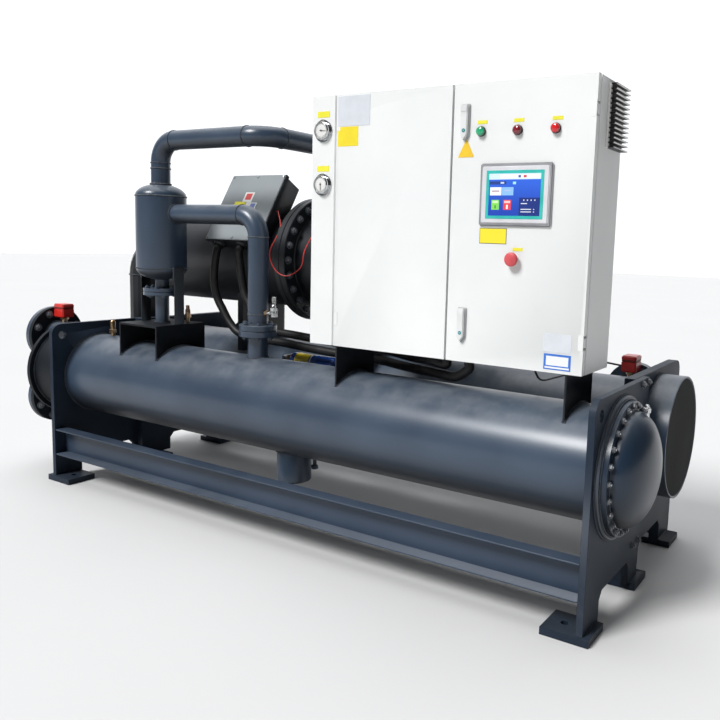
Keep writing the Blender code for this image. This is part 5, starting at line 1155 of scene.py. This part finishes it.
GAUGE_X = 0.284
for name, height, needle_turn in (("upper", 1.391, 95.0), ("lower", 1.221, 176.0)):
    middle = on_front(GAUGE_X, height)
    facing = facing_way(-Y, middle - Y * 0.0130)
    needle = block((-0.0006, -0.0008, -0.006), (0.0006, 0.0, 0.0185), ink_black, 0.0001, 1)
    needle.transform(Matrix.Rotation(math.radians(needle_turn), 4, "Y"))
    needle.transform(Matrix.Translation(middle - Y * 0.0140))
    bezel = [(0.0030, 0.0285), (0.0130, 0.0285), (0.0160, 0.0265), (0.0160, 0.0245), (0.0125, 0.0240)]
    gauge = [
        disc(0.0003, 0.0035, 0.036, -Y, middle, chrome, 72, 0.0008),
        lathe(bezel, -Y, middle, chrome, 72, 0.0004),
        disc(0.0120, 0.0128, 0.0242, -Y, middle, dial_white, 64, 0.0001),
        lathe([(0.0138, 0.0030), (0.0150, 0.0026)], -Y, middle, ink_black, 24, 0.0002),
        marks.grow("marks", ink_black, place=facing, count=30, ring=0.0205, length=0.0034),
        marks.grow("marks", dial_rim, place=facing, count=90, ring=0.0228, length=0.0012),
        needle]
    for turn in (90, 210, 330):
        spot = Vector((math.cos(math.radians(turn)), 0, math.sin(math.radians(turn)))) * 0.0322
        spot += middle - Y * 0.0035
        gauge.append(lathe([(0.0, 0.0020), (0.0014, 0.0012)], -Y, spot, bright_steel, 16, 0.0002))
    together("pressure_gauge_" + name, gauge, "bright_steel", "gauge_" + name)
together("gauge_tags", [
    front_plate(GAUGE_X - 0.025, GAUGE_X + 0.025, 1.433, 1.452, yellow_film),
    front_plate(GAUGE_X - 0.025, GAUGE_X + 0.025, 1.263, 1.281, yellow_film),
], "grey_bezel")


# Bare films and plates on the doors: a pale grey name plate and yellow films, all without words.
# The warning triangle is a bare amber film; one film has a blue frame.
grey_film = bare_label("pale_grey_film", (0.66, 0.69, 0.74))
amber_film = bare_label("amber_film", (0.86, 0.56, 0.03))
lemon_film = bare_label("lemon_film", (0.87, 0.70, 0.03))
FRAME_WHITE = (0.80, 0.81, 0.82)
blue_frame = bare_label(
    "blue_frame_film", (0.02, 0.16, 0.62), ((1.125, 0.0, 0.734), (0.066, 0.0, 0.026), FRAME_WHITE),
    ((1.125, 0.0, 0.715), (0.072, 0.0, 0.005), FRAME_WHITE))
edged_film = bare_label(
    "edged_yellow_film", (0.10, 0.05, 0.02), ((0.910, 0.0, 1.072), (0.083, 0.0, 0.041), (0.87, 0.74, 0.03)))
together("left_door_plates", [
    front_plate(0.343, 0.467, 1.402, 1.494, grey_film, 0.0010),
    front_plate(0.343, 0.423, 1.340, 1.400, lemon_film),
], "grey_bezel", body="left_door")
triangle = bpy.data.meshes.new("triangle")
tip_points = [(0.786, 1.294), (0.839, 1.294), (0.8125, 1.346)]
triangle.from_pydata([on_front(x, z, out) for out in (0.0, 0.0009) for x, z in tip_points], [],
                     [(0, 1, 2), (5, 4, 3), (0, 3, 4, 1), (1, 4, 5, 2), (2, 5, 3, 0)])
triangle.materials.append(amber_film)
door_films = [closed_up(triangle)]
for x0, x1, z0, z1, film in (
        (0.867, 0.953, 1.050, 1.094, edged_film), (1.082, 1.164, 0.758, 0.809, grey_film),
        (1.085, 1.165, 0.709, 0.753, blue_frame), (0.974, 1.005, 1.032, 1.041, yellow_film)):
    door_films.append(front_plate(x0, x1, z0, z1, film))
for x in (0.862, 0.976, 1.090):
    door_films.append(front_plate(x - 0.0155, x + 0.0155, 1.385, 1.395, yellow_film))
together("right_door_films", door_films, "grey_bezel", body="right_door")


# Touch screen: a moulded silver bezel with a darker step round it, a teal inner frame and a lit display.
# The display shows plain coloured fields only; each is its two ends across, its two ends up and its colour.
SCREEN_X, SCREEN_Z = 0.976, 1.187
DISPLAY_WIDTH, DISPLAY_HEIGHT = 0.158, 0.116
BAR_TINT = (0.70, 0.75, 0.85)
fields = [
    (0.0, 1.0, 0.86, 1.0, (0.62, 0.78, 0.95)), (0.22, 0.98, 0.885, 0.975, (0.90, 0.93, 0.97)),
    (0.57, 0.62, 0.90, 0.96, (0.08, 0.12, 0.40)), (0.67, 0.73, 0.90, 0.96, (0.60, 0.08, 0.12)),
    (0.01, 0.34, 0.742, 0.817, (0.02, 0.05, 0.24)), (0.23, 0.30, 0.760, 0.800, (0.55, 0.66, 0.90)),
    (0.47, 0.53, 0.745, 0.805, (0.35, 0.75, 0.95)),
    (0.027, 0.252, 0.484, 0.677, (0.86, 0.88, 0.92)), (0.06, 0.21, 0.57, 0.60, (0.40, 0.25, 0.30)),
    (0.261, 0.486, 0.484, 0.677, (0.25, 0.50, 0.88)), (0.31, 0.43, 0.59, 0.61, (0.50, 0.50, 0.75)),
    (0.063, 0.216, 0.140, 0.376, (0.22, 0.66, 0.10)), (0.085, 0.194, 0.30, 0.355, (0.62, 0.88, 0.50)),
    (0.125, 0.155, 0.17, 0.25, (0.05, 0.30, 0.05)),
    (0.297, 0.450, 0.140, 0.376, (0.76, 0.06, 0.07)), (0.315, 0.432, 0.30, 0.355, (0.90, 0.55, 0.55)),
    (0.355, 0.390, 0.16, 0.26, (0.92, 0.85, 0.85)),
    (0.604, 1.0, 0.0, 0.43, (0.010, 0.030, 0.20)), (0.64, 0.76, 0.28, 0.30, BAR_TINT)]
for u0, u1 in ((0.64, 0.84), (0.88, 0.90)):
    for v0, v1 in ((0.145, 0.165), (0.085, 0.105)):
        fields.append((u0, u1, v0, v1, BAR_TINT))
for dot in range(4):
    fields.append((0.685 + dot * 0.07, 0.705 + dot * 0.07, 0.355, 0.385, BAR_TINT))
display = Finish("lit_display")
climb = display.along("Z").eased(SCREEN_Z - DISPLAY_HEIGHT / 2, SCREEN_Z + DISPLAY_HEIGHT / 2)
picture = display.blend(climb, (0.012, 0.055, 0.42), (0.030, 0.130, 0.70))
across = display.along("X")
height = display.along("Z")
for u0, u1, v0, v1, tint in fields:
    x = SCREEN_X + DISPLAY_WIDTH * ((u0 + u1) / 2 - 0.5)
    z = SCREEN_Z + DISPLAY_HEIGHT * ((v0 + v1) / 2 - 0.5)
    in_width = (across - x).size().below(DISPLAY_WIDTH * (u1 - u0) / 2)
    in_height = (height - z).size().below(DISPLAY_HEIGHT * (v1 - v0) / 2)
    picture = display.blend(in_width * in_height, picture, tint)
lit_display = display.set(
    Base_Color=(0.01, 0.01, 0.012), Emission_Color=picture, Emission_Strength=1.25, Roughness=0.12,
    Coat_Weight=0.4)
teal_frame = moulded("teal_frame", (0.02, 0.42, 0.38), (0.04, 0.50, 0.45), 0.35, 0.2)
bezel_grey = moulded("bezel_dark_silver", (0.24, 0.245, 0.26), (0.30, 0.305, 0.32), 0.42)
bezel_silver = moulded("bezel_silver", (0.60, 0.60, 0.63), (0.68, 0.68, 0.71), 0.40)
screen_layers = []
for width, tall, out, finish, edge in (
        (0.222, 0.174, 0.0080, bezel_grey, 0.0035), (0.206, 0.158, 0.0110, bezel_silver, 0.0025),
        (0.1765, 0.134, 0.0118, teal_frame, 0.0006),
        (DISPLAY_WIDTH, DISPLAY_HEIGHT, 0.0122, lit_display, 0.0002)):
    low = on_front(SCREEN_X - width / 2, SCREEN_Z - tall / 2, out)
    high = on_front(SCREEN_X + width / 2, SCREEN_Z + tall / 2, 0.0003)
    screen_layers.append(block(low, high, finish, edge, 3))
together("touch_screen_unit", screen_layers, "grey_bezel", "touch_screen", body="right_door")


# Indicator lamps: ribbed coloured lenses in black collars on the right door.
# Each glows faintly, and painted shade makes its side darker than its face.
def lens(name, dark, light):
    finish = Finish(name)
    flow = finish.noise(60.0, 3.0)
    # Painted shade: the lens's sides, turned away from the front, go nearly black
    painted_side_shade = finish.facing("Y").eased(-0.80, -0.30)
    tinted = finish.blend(flow.eased(0.3, 0.7), dark, light)
    return finish.set(
        Base_Color=finish.blend(painted_side_shade * 0.8, tinted, (0.01, 0.01, 0.01)), Emission_Color=tinted,
        Emission_Strength=0.12, Roughness=0.10 + flow * 0.08, Coat_Weight=0.8, Coat_Roughness=0.06)


lens_outline = [(0.004, 0.0125)]
for step in range(7):
    lens_outline.append((0.006 + step * 0.0008, 0.0125 if step % 2 else 0.0130))
lens_outline += [(0.0130, 0.0115), (0.0150, 0.0080), (0.0160, 0.0)]
for name, x, z, dark, light in (
        ("green", 0.860, 1.364, (0.005, 0.24, 0.10), (0.02, 0.38, 0.18)),
        ("dark_red", 0.974, 1.363, (0.12, 0.005, 0.012), (0.22, 0.012, 0.025)),
        ("red", 1.087, 1.363, (0.48, 0.006, 0.010), (0.66, 0.02, 0.02))):
    together("indicator_lamp_" + name, [
        disc(0.0003, 0.0048, 0.0145, -Y, on_front(x, z), ink_black, 48, 0.0008),
        lathe(lens_outline, -Y, on_front(x, z), lens(name + "_lens", dark, light), 48, 0.0002),
    ], "red_plastic" if name == "red" else name + "_lens", "lamp_" + name, body="right_door")


# Door handles: white moulded swing levers on a slim base, pointed at the bottom, with a teal lock core.
# Each is three outlines laid on each other.
def outline_plate(outline, x, z, out0, out1, finish, edge=0.0012):
    # An outline on the doors' front plane, given depth and softened edges
    shape = bmesh.new()
    corners = [shape.verts.new(on_front(x + a, z + b, out0)) for a, b in outline]
    grown = bmesh.ops.extrude_face_region(shape, geom=[shape.faces.new(corners)])
    for one in grown["geom"]:
        if isinstance(one, bmesh.types.BMVert):
            one.co.y -= out1 - out0
    bmesh.ops.recalc_face_normals(shape, faces=shape.faces)
    bmesh.ops.bevel(shape, geom=shape.edges[:], offset=edge, segments=2, affect="EDGES", clamp_overlap=True)
    return closed_up(as_mesh(shape, "plate", finish), 20)


handle_white = moulded("handle_white", (0.66, 0.67, 0.67), (0.74, 0.75, 0.75), 0.34, 0.2)
handle_base = moulded("handle_base_grey", (0.40, 0.41, 0.415), (0.48, 0.49, 0.495), 0.38)
lock_teal = moulded("lock_teal", (0.01, 0.20, 0.22), (0.02, 0.28, 0.30), 0.30, 0.3)
base = [(-0.0135, 0.052), (0.0140, 0.052), (0.0140, -0.036), (0.0020, -0.052), (-0.0120, -0.040)]
lever = [(-0.0125, 0.050), (0.0105, 0.050), (0.0105, -0.034), (-0.0005, -0.048), (-0.0110, -0.038)]
grip = [(-0.0115, 0.046), (0.0095, 0.046), (0.0095, 0.030), (-0.0115, 0.030)]
for name, x, z in (("upper", 0.808, 1.390), ("lower", 0.820, 0.809)):
    lock = on_front(x, z - 0.022)
    together("door_handle_" + name, [
        outline_plate(base, x, z, 0.0003, 0.006, handle_base),
        outline_plate(lever, x, z, 0.004, 0.0135, handle_white, 0.0022),
        outline_plate(grip, x, z, 0.010, 0.0148, handle_white),
        disc(0.012, 0.0146, 0.0056, -Y, lock, lock_teal, 32, 0.0004),
        lathe([(0.0140, 0.0022), (0.0152, 0.0020)], -Y, lock, handle_base, 20, 0.0002),
    ], "white_plastic", "handle_" + name, body="right_door")


# Stop button: a red mushroom head on a stem that slides in the door's collar.
# The head's rim is rounded and its face is slightly domed.
STOP = on_front(0.978, 1.008)
stop_red = moulded("stop_red", (0.50, 0.055, 0.065), (0.62, 0.085, 0.095), 0.42)
stop_outline = [
    (0.0120, 0.0175), (0.0145, 0.0200), (0.0190, 0.0200), (0.0225, 0.0185), (0.0240, 0.0150), (0.0250, 0.0)]
together("stop_mushroom", [
    disc(-0.012, 0.013, 0.0058, -Y, STOP, bright_steel, 32),
    lathe(stop_outline, -Y, STOP, stop_red, 64, 0.0006),
], "red_plastic", "stop_button", body="stop_button")


# Studio: a pale floor under a softly graded surround, bright behind the machine and dark at its right,
# with a wide soft main light from the left front and a second one from above.
floor = linked("floor", bpy.data.meshes.new("floor"))
sheet = bmesh.new()
bmesh.ops.create_grid(sheet, x_segments=1, y_segments=1, size=30.0)
sheet.to_mesh(floor.data)
sheet.free()
floor_finish = Finish("pale_floor")
floor_colour = floor_finish.blend(floor_finish.noise(0.7), (0.60, 0.60, 0.60), (0.63, 0.63, 0.63))
floor.data.materials.append(floor_finish.set(Base_Color=floor_colour, Roughness=0.85))
floor.location.z = -0.0005

world = bpy.data.worlds.new("studio")
world.use_nodes = True
bpy.context.scene.world = world
surround = Graph(world.node_tree)
direction = surround.node("ShaderNodeTexCoord", out="Generated")
behind = surround.node("ShaderNodeVectorMath", {"operation": "DOT_PRODUCT"}, {
    0: direction, 1: (-0.552, 0.753, 0.361)}, out="Value").eased(0.35, 0.82)
leftward = surround.node("ShaderNodeSeparateXYZ", None, {0: direction}, out="X").eased(0.50, -0.60)
glow = 0.05 + leftward * 0.14 + behind * 1.00
backdrop = world.node_tree.nodes["Background"]
backdrop.inputs[0].default_value = (0.95, 0.97, 1.0, 1.0)
world.node_tree.links.new(glow.socket, backdrop.inputs[1])
bpy.context.scene.view_settings.view_transform = "Standard"


def soft_sun(name, way, strength, spread):
    # An even light from far away; spread is its width in degrees, which softens the shadows
    data = bpy.data.lights.new(name, "SUN")
    data.energy = strength
    data.angle = math.radians(spread)
    made = linked(name, data)
    made.rotation_euler = Vector(way).to_track_quat("-Z", "Y").to_euler()


soft_sun("main_light", (0.26, 0.66, -0.705), 3.4, 20)
soft_sun("top_light", (0.10, -0.05, -1.0), 1.1, 50)
